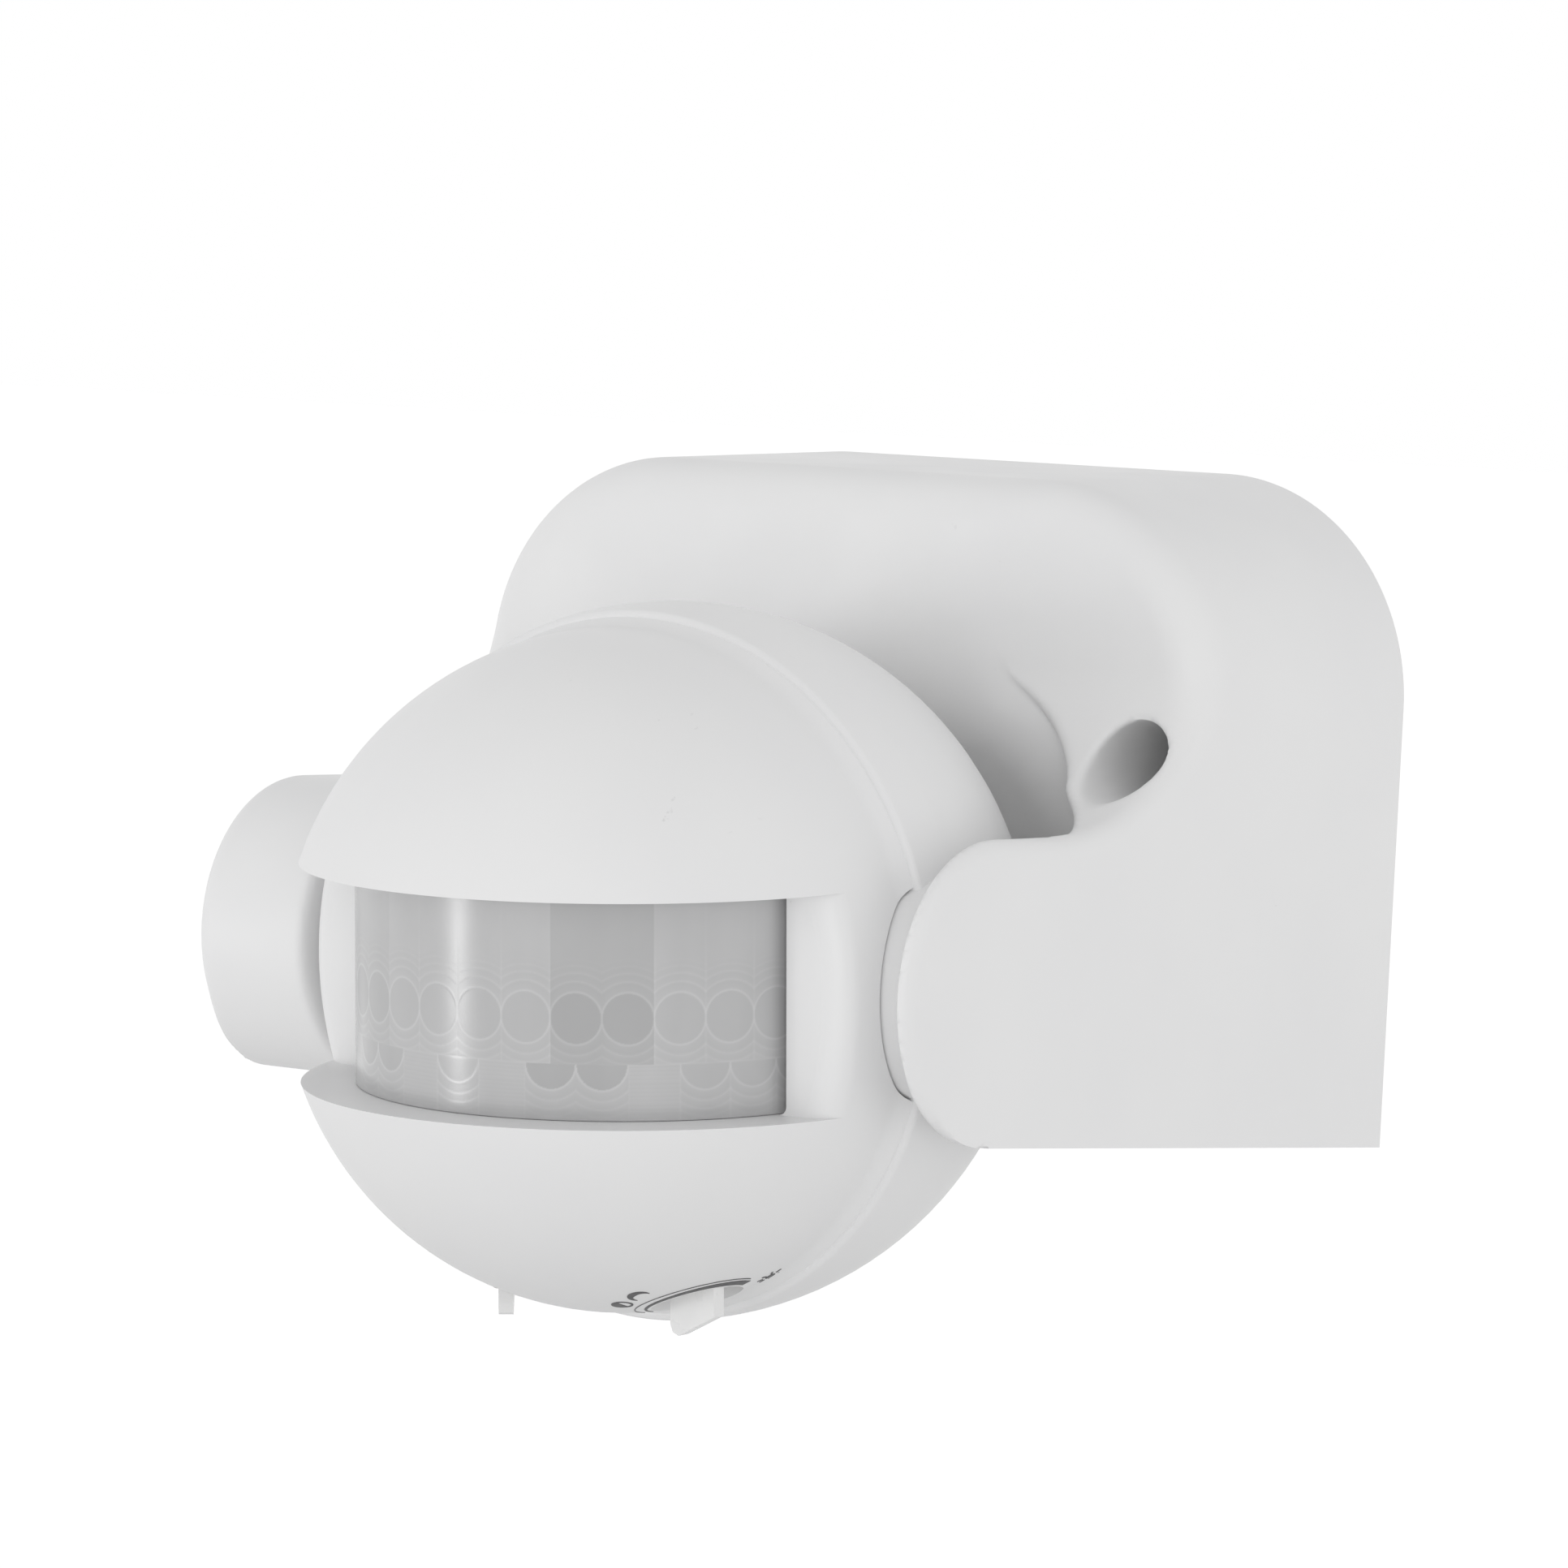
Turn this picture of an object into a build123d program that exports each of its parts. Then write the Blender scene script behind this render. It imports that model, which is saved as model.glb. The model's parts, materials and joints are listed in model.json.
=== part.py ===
"""Wall-mounted passive infrared motion sensor with a tilting ball head.

Frame: the wall is the plane y = 0, the object stands out towards -Y, +Z is up.
The origin lies on the wall face, level with the pivot of the head.
Head pieces are modelled about the centre of the ball, facing -Y, and are then
moved to the pivot and tilted down by HEAD_TILT.
"""

from math import atan2, cos, degrees, radians, sin, sqrt, tan
import os

from build123d import *

os.makedirs("parts", exist_ok=True)

# ---------------------------------------------------------------- dimensions
# Bracket, outside
BRACKET_WIDTH = 96.3
BRACKET_TOP = 51.4
BRACKET_BOTTOM = -18.0
CORNER_RADIUS = 23.5
DRAFT = 2.3
PIVOT_Y = -68.0
FRONT_Y = -36.0
ARM_RADIUS = 15.3
BLEND_DEPTH = 23.0
BLEND_TOP = 31.5
EDGE_RADIUS = 2.6
WALL = 2.5

# Head position and the gap that it sits in
HEAD_X = 5.5
HEAD_TILT = 4.8
GAP_LEFT = 36.0
GAP_RIGHT = 38.0
DISH_RADIUS = 43.0
DISH_FLARE = 21.0
DISH_WALL = 2.3

# Housing screws
HOUSING_SCREW_X = 40.2
HOUSING_SCREW_Z = 22.2
ACCESS_RADIUS = 4.2
SEAT_Y = -16.0
SEAT_THICKNESS = 2.0

# Wall plate
PLATE_THICKNESS = 3.0
PLATE_GAP = 0.3
WALL_SCREW_SPACING = 54.0
WALL_SCREW_Z = 33.0
WALL_SCREW_RADIUS = 2.25
CABLE_X = 16.0
CABLE_Z = 4.0
GROMMET_SEAT_RADIUS = 7.5
CABLE_RADIUS = 4.0

# Ball head
REAR_RADIUS = 36.3
SHELL = 2.2
SEAM_Y = -5.5
DOME_RADIUS = 34.4
DOME_Y = -8.0
RIM_RADIUS = 35.2
COLLAR_RADIUS = 11.7
COLLAR_GAP = 0.4

# Window and lens
BROW_Z = 10.9
SILL_Z = -11.2
WINDOW_Y = -17.0
LEDGE = 1.8
LENS_RADIUS = 27.0
LENS_Y = -8.2
LENS_HALF_ANGLE = 78.0
OPENING_HALF_WIDTH = 26.6
LENS_THICKNESS = 0.6

# Pivots
TRUNNION_RADIUS = 8.0
TRUNNION_BORE = 5.0
TRUNNION_END = 44.0
PIN_RADIUS = 6.0
PIN_LENGTH = 3.2
PIVOT_CLEARANCE = 0.05
BUSH_RADIUS = 9.6

# Cover screws
COVER_SCREW_X = 22.0
COVER_SCREW_Z = 18.0
COVER_SEAT_Y = -2.5
POST_RADIUS = 2.9

# Knobs
KNOB_X = 12.0
KNOB_Y = -12.0
RECESS_Z = -28.4
RECESS_RADIUS = 4.6
KNOB_RADIUS = 4.2
KNOB_DISC = 1.3
FIN_LENGTH = 5.8
FIN_THICKNESS = 1.5
FIN_DEEP_Z = -35.5
FIN_SHALLOW_Z = -33.1
LUX_FIN_ANGLE = -5.0
TIME_FIN_ANGLE = 126.0
SHAFT_RADIUS = 2.0

# Boards
SENSOR_BOARD_Y = -1.4
POWER_BOARD_Y = 11.6
BOARD_THICKNESS = 1.6
DETECTOR_Z = -1.0

HEAD_POSE = Location((HEAD_X, PIVOT_Y, 0), (HEAD_TILT, 0, 0))
BLEND_HEIGHT = BLEND_TOP - ARM_RADIUS
ARM_LEFT_X = HEAD_X - GAP_LEFT
ARM_RIGHT_X = HEAD_X + GAP_RIGHT


def side_plane(x):
    """A sketch plane facing +X, whose sketch axes are Y and Z."""
    return Plane.YZ.offset(x)


def front_plane(y):
    """A sketch plane facing -Y, whose sketch axes are X and Z."""
    return Plane.XZ.offset(-y)


def level_plane(z):
    """A sketch plane facing +Z."""
    return Plane.XY.offset(z)


# ============================================================ bracket pieces
def bracket_outline(inset):
    """Back view of the bracket: a rectangle with large round top corners."""
    with BuildSketch() as outline:
        with Locations((0, (BRACKET_TOP + BRACKET_BOTTOM) / 2)):
            Rectangle(BRACKET_WIDTH - 2 * inset, BRACKET_TOP - BRACKET_BOTTOM - 2 * inset)
        fillet(outline.vertices().group_by(Axis.Y)[-1], CORNER_RADIUS - inset)
    return outline.sketch


BACK_OUTLINE = bracket_outline(0)
CAVITY_OUTLINE = bracket_outline(WALL)
PLATE_OUTLINE = bracket_outline(WALL + PLATE_GAP)
SIDE_HEIGHT = 70.0

# Side view: front face, hollow curve down to the arms, round arm tips.
with BuildSketch(Plane.YZ) as side_view:
    with BuildLine():
        Line((0, -SIDE_HEIGHT), (0, SIDE_HEIGHT))
        Line((0, SIDE_HEIGHT), (FRONT_Y, SIDE_HEIGHT))
        Line((FRONT_Y, SIDE_HEIGHT), (FRONT_Y, BLEND_TOP))
        EllipticalCenterArc(
            (FRONT_Y - BLEND_DEPTH, BLEND_TOP), BLEND_DEPTH, BLEND_HEIGHT, start_angle=270, arc_size=90
        )
        Line((FRONT_Y - BLEND_DEPTH, ARM_RADIUS), (PIVOT_Y, ARM_RADIUS))
        ThreePointArc((PIVOT_Y, ARM_RADIUS), (PIVOT_Y - ARM_RADIUS, 0), (PIVOT_Y, -ARM_RADIUS))
        Line((PIVOT_Y, -ARM_RADIUS), (PIVOT_Y, -SIDE_HEIGHT))
        Line((PIVOT_Y, -SIDE_HEIGHT), (0, -SIDE_HEIGHT))
    make_face()

# The ball sits in a dish: part of a larger ball that flares out to the front face.
SPACE_FRONT_Y = -56.0
FLARE_Y = FRONT_Y + DISH_FLARE
CENTRE_DISTANCE = DISH_RADIUS + DISH_FLARE
FLARE_R = sqrt(CENTRE_DISTANCE**2 - (FLARE_Y - PIVOT_Y) ** 2)
FLARE_ANGLE = degrees(atan2(FLARE_Y - PIVOT_Y, FLARE_R))


def ball_dish(grow):
    """The dish as a solid, made larger all round by a wall thickness."""
    with BuildPart() as dish:
        with BuildSketch(Plane.XY):
            with BuildLine():
                bowl = CenterArc((0, PIVOT_Y), DISH_RADIUS + grow, FLARE_ANGLE, 90 - FLARE_ANGLE)
                flare = CenterArc(
                    (FLARE_R, FLARE_Y), DISH_FLARE - grow, 180 + FLARE_ANGLE, 90 - FLARE_ANGLE
                )
                Polyline(flare @ 1, (FLARE_R, SPACE_FRONT_Y), (0, SPACE_FRONT_Y), bowl @ 1)
            make_face()
        revolve(axis=Axis.Y)
        with Locations((0, PIVOT_Y, 0)):
            Sphere(DISH_RADIUS + grow)
    return dish.part.moved(Location((HEAD_X, 0, 0)))


with BuildPart() as ball_space:
    add(ball_dish(0))
    with Locations((HEAD_X, PIVOT_Y - 20, 0)):
        Box(3 * GAP_RIGHT, 64, 2 * SIDE_HEIGHT)
    split(bisect_by=Plane.YZ.offset(ARM_LEFT_X), keep=Keep.TOP)
    split(bisect_by=Plane.YZ.offset(ARM_RIGHT_X), keep=Keep.BOTTOM)

with BuildPart() as wiring_room:
    with BuildSketch(Plane.XZ):
        add(CAVITY_OUTLINE)
    extrude(amount=-FRONT_Y - WALL, taper=DRAFT)
    add(ball_dish(DISH_WALL), mode=Mode.SUBTRACT)

# The left arm is hollow, so that the leads can run back from the pivot.
ARM_ROOM_RADIUS = ARM_RADIUS - WALL
ARM_ROOM_WIDTH = BRACKET_WIDTH / 2 + ARM_LEFT_X - 2 * WALL - tan(radians(DRAFT)) * -PIVOT_Y
with BuildPart() as arm_room:
    with BuildSketch(side_plane(ARM_LEFT_X - WALL)):
        with Locations((PIVOT_Y, 0)):
            Circle(ARM_ROOM_RADIUS)
        with Locations((PIVOT_Y / 2 - 6, 0)):
            Rectangle(-PIVOT_Y - 12, 2 * ARM_ROOM_RADIUS)
    extrude(amount=-ARM_ROOM_WIDTH)

with BuildPart() as bracket_housing:
    with BuildSketch(Plane.XZ):
        add(BACK_OUTLINE)
    extrude(amount=ARM_RADIUS - PIVOT_Y + 1, taper=DRAFT)
    extrude(side_view.sketch, amount=BRACKET_WIDTH, both=True, mode=Mode.INTERSECT)
    front_loop = bracket_housing.edges().filter_by(
        lambda e: e.center().Y < FRONT_Y + 0.5
        and (e.center().Z > BLEND_TOP + 0.5 or abs(e.center().X) > HOUSING_SCREW_X)
        and e.center().Z > BRACKET_BOTTOM + 1
        and not (abs(e.tangent_at(0.5).Y) > 0.9 and e.center().Z < 0)
    )
    fillet(front_loop, EDGE_RADIUS)
    add(ball_space.part, mode=Mode.SUBTRACT)
    add(wiring_room.part, mode=Mode.SUBTRACT)
    add(arm_room.part, mode=Mode.SUBTRACT)
    # Screw tubes, open to the front, with a seat for the screw head
    with BuildSketch(front_plane(SEAT_Y + SEAT_THICKNESS)):
        with Locations((-HOUSING_SCREW_X, HOUSING_SCREW_Z), (HOUSING_SCREW_X, HOUSING_SCREW_Z)):
            Circle(ACCESS_RADIUS + 1.6)
    extrude(amount=SEAT_Y + SEAT_THICKNESS - FRONT_Y - 1.5)
    with BuildSketch(front_plane(SEAT_Y)):
        with Locations((-HOUSING_SCREW_X, HOUSING_SCREW_Z), (HOUSING_SCREW_X, HOUSING_SCREW_Z)):
            Circle(ACCESS_RADIUS)
    extrude(amount=40, mode=Mode.SUBTRACT)
    with BuildSketch(front_plane(0)):
        with Locations((-HOUSING_SCREW_X, HOUSING_SCREW_Z), (HOUSING_SCREW_X, HOUSING_SCREW_Z)):
            Circle(1.7)
    extrude(amount=30, mode=Mode.SUBTRACT)
    # Bearing hole through the left arm's inner wall, and a solid pin on the right arm
    with BuildSketch(side_plane(ARM_LEFT_X)):
        with Locations((PIVOT_Y, 0)):
            Circle(BUSH_RADIUS)
    extrude(amount=-WALL, mode=Mode.SUBTRACT)
    with BuildSketch(side_plane(ARM_RIGHT_X + 0.5)):
        with Locations((PIVOT_Y, 0)):
            Circle(PIN_RADIUS)
    extrude(amount=-PIN_LENGTH - 0.5)

bracket_housing.part.label = "bracket_housing"
export_step(bracket_housing.part, "parts/bracket_housing.step")


# Flat plate that goes on the wall; the housing closes over it.
WALL_SCREW_PLACES = [(-WALL_SCREW_SPACING / 2, WALL_SCREW_Z), (WALL_SCREW_SPACING / 2, WALL_SCREW_Z)]
HOUSING_SCREW_PLACES = [(-HOUSING_SCREW_X, HOUSING_SCREW_Z), (HOUSING_SCREW_X, HOUSING_SCREW_Z)]
BOSS_RADIUS = 4.0
BOSS_END_Y = SEAT_Y + SEAT_THICKNESS + 0.3
with BuildPart() as back_plate:
    with BuildSketch(Plane.XZ):
        add(PLATE_OUTLINE)
    extrude(amount=PLATE_THICKNESS)
    with BuildSketch(Plane.XZ):
        with Locations(*HOUSING_SCREW_PLACES):
            Circle(BOSS_RADIUS)
    extrude(amount=-BOSS_END_Y)
    with BuildSketch(Plane.XZ):
        with Locations(*WALL_SCREW_PLACES):
            Circle(BOSS_RADIUS + 1)
    extrude(amount=PLATE_THICKNESS + 1.5)
    with BuildSketch(Plane.XZ):
        with Locations(*WALL_SCREW_PLACES):
            Circle(WALL_SCREW_RADIUS)
        with Locations((CABLE_X, CABLE_Z)):
            Circle(GROMMET_SEAT_RADIUS)
        with Locations((-30, -12), (30, -12)):
            SlotOverall(5, 2)
    extrude(amount=20, mode=Mode.SUBTRACT)
    with BuildSketch(front_plane(-PLATE_THICKNESS)):
        with Locations(*HOUSING_SCREW_PLACES):
            Circle(1.5)
    extrude(amount=20, mode=Mode.SUBTRACT)

back_plate.part.label = "back_plate"
export_step(back_plate.part, "parts/back_plate.step")

# Rubber grommet: a groove round its waist holds it in the plate.
LIP_RADIUS = GROMMET_SEAT_RADIUS + 1.8
LIP_DEPTH = 1.4
CONE_DEPTH = 3.6
with BuildPart() as cable_grommet:
    with BuildSketch(front_plane(-0.4)):
        with Locations((CABLE_X, CABLE_Z)):
            Circle(GROMMET_SEAT_RADIUS)
    extrude(amount=PLATE_THICKNESS - 0.4)
    with BuildSketch(front_plane(-PLATE_THICKNESS)):
        with Locations((CABLE_X, CABLE_Z)):
            Circle(LIP_RADIUS)
    extrude(amount=LIP_DEPTH)
    with BuildSketch(front_plane(-PLATE_THICKNESS - LIP_DEPTH)):
        with Locations((CABLE_X, CABLE_Z)):
            Circle(GROMMET_SEAT_RADIUS - 0.5)
    extrude(amount=CONE_DEPTH, taper=20)
    with BuildSketch(Plane.XZ):
        with Locations((CABLE_X, CABLE_Z)):
            Circle(CABLE_RADIUS)
    extrude(amount=20, mode=Mode.SUBTRACT)

cable_grommet.part.label = "cable_grommet"
export_step(cable_grommet.part, "parts/cable_grommet.step")

# Three-pole terminal block on the plate, with funnels for the screwdriver.
POLE_PITCH = 10.0
BLOCK_SIZE = (3 * POLE_PITCH + 2, 12.0, 13.0)
BLOCK_Z = 33.0
BLOCK_X = 0.0
BLOCK_FRONT_Y = -PLATE_THICKNESS - BLOCK_SIZE[1]
POLE_XS = [BLOCK_X + POLE_PITCH * step for step in (-1, 0, 1)]
with BuildPart() as terminal_block:
    with BuildSketch(front_plane(-PLATE_THICKNESS)):
        with Locations((BLOCK_X, BLOCK_Z)):
            Rectangle(BLOCK_SIZE[0], BLOCK_SIZE[2])
    extrude(amount=BLOCK_SIZE[1])
    fillet(terminal_block.edges().filter_by(Axis.Y), 0.8)
    with BuildSketch(front_plane(BLOCK_FRONT_Y)):
        with Locations(*[(x, BLOCK_Z) for x in POLE_XS]):
            Circle(2.6)
    extrude(amount=-8, mode=Mode.SUBTRACT)
    with BuildSketch(level_plane(BLOCK_Z - BLOCK_SIZE[2] / 2)):
        with Locations(*[(x, BLOCK_FRONT_Y + 8.6) for x in POLE_XS]):
            Rectangle(5.2, 4.0)
    extrude(amount=BLOCK_SIZE[2], mode=Mode.SUBTRACT)
    with BuildSketch(front_plane(BLOCK_FRONT_Y)):
        with Locations(*[(x + POLE_PITCH / 2, BLOCK_Z) for x in POLE_XS[:2]]):
            Rectangle(0.8, BLOCK_SIZE[2] - 3)
    extrude(amount=-5, mode=Mode.SUBTRACT)

terminal_block.part.label = "terminal_block"
export_step(terminal_block.part, "parts/terminal_block.step")

# Brass clamp sleeves inside the block
with BuildPart() as terminal_clamps:
    for pole_x in POLE_XS:
        with BuildSketch(level_plane(BLOCK_Z - 5)):
            with Locations((pole_x, BLOCK_FRONT_Y + 8.6)):
                Rectangle(5.0, 3.8)
                Rectangle(3.6, 2.4, mode=Mode.SUBTRACT)
        extrude(amount=10)

terminal_clamps.part.label = "terminal_clamps"
export_step(terminal_clamps.part, "parts/terminal_clamps.step")


def cross_screw(head_radius, head_height, shank_radius, shank_length):
    """A pan-head screw on +Z: its head seat is at z = 0 and its shank points down."""
    with BuildPart() as screw:
        Cylinder(head_radius, head_height, align=(Align.CENTER, Align.CENTER, Align.MIN))
        fillet(screw.edges().filter_by(GeomType.CIRCLE).sort_by(Axis.Z)[-1], head_height * 0.4)
        Cylinder(shank_radius, shank_length, align=(Align.CENTER, Align.CENTER, Align.MAX))
        with BuildSketch(Plane.XY.offset(head_height)):
            Rectangle(head_radius * 1.3, head_radius * 0.28)
            Rectangle(head_radius * 0.28, head_radius * 1.3)
        extrude(amount=-head_height * 0.55, mode=Mode.SUBTRACT)
    return screw.part


def facing_front(x, y, z):
    """A location at a point, with its Z direction towards -Y."""
    return Plane(origin=(x, y, z), z_dir=(0, -1, 0)).location


def facing_back(x, y, z):
    """A location at a point, with its Z direction towards +Y."""
    return Plane(origin=(x, y, z), z_dir=(0, 1, 0)).location


TERMINAL_SCREW = cross_screw(2.2, 2.2, 1.1, 1.5)
with BuildPart() as terminal_screws:
    for pole_x in POLE_XS:
        add(TERMINAL_SCREW.moved(facing_front(pole_x, BLOCK_FRONT_Y + 5, BLOCK_Z)))

terminal_screws.part.label = "terminal_screws"
export_step(terminal_screws.part, "parts/terminal_screws.step")

HOUSING_SCREW = cross_screw(3.2, 2.2, 1.45, 11.0)
with BuildPart() as housing_screws:
    for screw_x, screw_z in HOUSING_SCREW_PLACES:
        add(HOUSING_SCREW.moved(facing_front(screw_x, SEAT_Y, screw_z)))

housing_screws.part.label = "housing_screws"
export_step(housing_screws.part, "parts/housing_screws.step")

# Plastic bearing bush in the left arm, with its flange inside the arm
BUSH_END = 4.6
with BuildPart() as pivot_bush:
    with BuildSketch(side_plane(ARM_LEFT_X)):
        with Locations((PIVOT_Y, 0)):
            Circle(BUSH_RADIUS)
    extrude(amount=-BUSH_END)
    with BuildSketch(side_plane(ARM_LEFT_X - WALL)):
        with Locations((PIVOT_Y, 0)):
            Circle(BUSH_RADIUS + 2)
    extrude(amount=-1.2)
    with BuildSketch(side_plane(ARM_LEFT_X)):
        with Locations((PIVOT_Y, 0)):
            Circle(TRUNNION_RADIUS + PIVOT_CLEARANCE)
    extrude(amount=-BUSH_END, mode=Mode.SUBTRACT)

pivot_bush.part.label = "pivot_bush"
export_step(pivot_bush.part, "parts/pivot_bush.step")

# Three leads from the left arm to the terminal block
LEAD_RADIUS = 0.9
LEAD_START_X = HEAD_X - TRUNNION_END - 1.8
with BuildPart() as supply_leads:
    for lead, pole_x in enumerate(POLE_XS):
        lead_z = 2.2 * (lead - 1)
        lead_y = -9 - 2.4 * lead
        with BuildLine() as route:
            FilletPolyline(
                (LEAD_START_X, PIVOT_Y + 1, lead_z),
                (LEAD_START_X, PIVOT_Y + 32, lead_z),
                (-27, lead_y, lead_z),
                (pole_x, lead_y, 15),
                (pole_x, BLOCK_FRONT_Y + 8.6, BLOCK_Z - 10),
                (pole_x, BLOCK_FRONT_Y + 8.6, BLOCK_Z - 5.2),
                radius=3.0,
            )
        with BuildSketch(Plane(route.line @ 0, z_dir=route.line % 0)):
            Circle(LEAD_RADIUS)
        sweep(path=route.line)

supply_leads.part.label = "supply_leads"
export_step(supply_leads.part, "parts/supply_leads.step")


# ============================================================== head pieces
COLLAR_ROOT = 31.5
COLLAR_FLOOR = 33.4
TONGUE_RADIUS = 32.9
TONGUE_INSIDE = 31.5
TONGUE_LENGTH = 2.5
SEAL_RADIUS = 9.9
SEAL_SECTION = 0.7
CLIP_X = -GAP_LEFT - BUSH_END - 1.0
LEFT_COLLAR_END = GAP_LEFT - COLLAR_GAP
RIGHT_COLLAR_END = GAP_RIGHT - COLLAR_GAP
CLIP_THICKNESS = 1.0
CLIP_GROOVE_RADIUS = 7.2
COVER_SCREW_PLACES = [
    (COVER_SCREW_X * side, COVER_SCREW_Z * level) for side in (-1, 1) for level in (-1, 1)
]
BOARD_SCREW_PLACES = [(0, 20), (0, -20)]

# What stands inside the rear cover: screw tubes and posts for the boards
with BuildPart() as rear_inside:
    with BuildSketch(front_plane(SEAM_Y + 0.3)):
        with Locations(*COVER_SCREW_PLACES):
            Circle(4.4)
    extrude(amount=-REAR_RADIUS)
    with BuildSketch(front_plane(POWER_BOARD_Y)):
        with Locations(*BOARD_SCREW_PLACES):
            Circle(2.6)
    extrude(amount=-REAR_RADIUS)
    Sphere(REAR_RADIUS - SHELL / 2, mode=Mode.INTERSECT)

# Rear cover: part of a ball, with a collar and a pivot at each side
with BuildPart() as rear_cover:
    Sphere(REAR_RADIUS)
    split(bisect_by=front_plane(SEAM_Y), keep=Keep.BOTTOM)
    fillet(rear_cover.edges().filter_by(GeomType.CIRCLE), 0.6)
    Sphere(REAR_RADIUS - SHELL, mode=Mode.SUBTRACT)
    with BuildSketch(front_plane(SEAM_Y)):
        Circle(REAR_RADIUS - SHELL + 0.4)
        Circle(TONGUE_INSIDE, mode=Mode.SUBTRACT)
    extrude(amount=-2)
    with BuildSketch(front_plane(SEAM_Y)):
        Circle(TONGUE_RADIUS)
        Circle(TONGUE_INSIDE, mode=Mode.SUBTRACT)
        with Locations((0, -TONGUE_RADIUS)):
            Rectangle(2 * (KNOB_X + RECESS_RADIUS + 2), 24, mode=Mode.SUBTRACT)
    extrude(amount=TONGUE_LENGTH)
    add(rear_inside.part)
    with BuildSketch(front_plane(COVER_SEAT_Y)):
        with Locations(*COVER_SCREW_PLACES):
            Circle(3.1)
    extrude(amount=-REAR_RADIUS, mode=Mode.SUBTRACT)
    with BuildSketch(front_plane(SEAM_Y)):
        with Locations(*COVER_SCREW_PLACES):
            Circle(1.5)
    extrude(amount=-10, mode=Mode.SUBTRACT)
    with BuildSketch(front_plane(POWER_BOARD_Y)):
        with Locations(*BOARD_SCREW_PLACES):
            Circle(1.25)
    extrude(amount=-9, mode=Mode.SUBTRACT)
    for side, collar_end in ((-1, LEFT_COLLAR_END), (1, RIGHT_COLLAR_END)):
        # Collar, with the pole of the ball trimmed off square
        with BuildSketch(side_plane(side * COLLAR_ROOT)):
            Circle(COLLAR_RADIUS)
        extrude(amount=side * (collar_end - COLLAR_ROOT))
        with BuildSketch(side_plane(side * collar_end)):
            Circle(2 * COLLAR_RADIUS)
        extrude(amount=side * 10, mode=Mode.SUBTRACT)
        with BuildSketch(side_plane(side * (COLLAR_ROOT - 2))):
            Circle(COLLAR_RADIUS - SHELL)
        extrude(amount=side * (COLLAR_FLOOR - COLLAR_ROOT + 2), mode=Mode.SUBTRACT)
        # Groove for the seal
        with BuildSketch(side_plane(side * collar_end)):
            Circle(SEAL_RADIUS + 0.8)
            Circle(SEAL_RADIUS - 0.8, mode=Mode.SUBTRACT)
        extrude(amount=-side * 1.35, mode=Mode.SUBTRACT)
    # Hollow left pivot, grooved for its clip
    with BuildSketch(side_plane(-COLLAR_FLOOR)):
        Circle(TRUNNION_RADIUS)
    extrude(amount=-(TRUNNION_END - COLLAR_FLOOR))
    with BuildSketch(side_plane(-TRUNNION_END)):
        Circle(TRUNNION_BORE)
    extrude(amount=TRUNNION_END - COLLAR_ROOT + 3, mode=Mode.SUBTRACT)
    with BuildSketch(side_plane(CLIP_X + 0.05)):
        Circle(TRUNNION_RADIUS + 1)
        Circle(CLIP_GROOVE_RADIUS, mode=Mode.SUBTRACT)
    extrude(amount=-CLIP_THICKNESS - 0.1, mode=Mode.SUBTRACT)
    # Socket for the bracket's pin in the right collar
    with BuildSketch(side_plane(RIGHT_COLLAR_END)):
        Circle(PIN_RADIUS + PIVOT_CLEARANCE)
    extrude(amount=-PIN_LENGTH - 0.2, mode=Mode.SUBTRACT)

rear_cover.part.label = "rear_cover"
rear_cover.part.locate(HEAD_POSE)
export_step(rear_cover.part, "parts/rear_cover.step")

# Outside shape of the front cover: a dome that flares a little at its rim
KNOB_PLACES = [(-KNOB_X, KNOB_Y), (KNOB_X, KNOB_Y)]
POCKET_END_X = 30.0
POCKET_END_RADIUS = 3.0
with BuildPart() as dome:
    with BuildSketch(Plane.XY):
        with BuildLine():
            CenterArc((0, DOME_Y), DOME_RADIUS, 270, 90)
            Spline(
                (DOME_RADIUS, DOME_Y),
                (RIM_RADIUS, SEAM_Y),
                tangents=((0, 1), (0.6, 1)),
            )
            Line((RIM_RADIUS, SEAM_Y), (0, SEAM_Y))
            Line((0, SEAM_Y), (0, DOME_Y - DOME_RADIUS))
        make_face()
    revolve(axis=Axis.Y)

with BuildPart() as dome_shell:
    add(dome.part)
    with Locations((0, DOME_Y, 0)):
        Sphere(DOME_RADIUS - SHELL, mode=Mode.SUBTRACT)
    with BuildSketch(front_plane(SEAM_Y)):
        Circle(TONGUE_RADIUS + 0.2)
    extrude(amount=TONGUE_LENGTH + 0.3, mode=Mode.SUBTRACT)

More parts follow.
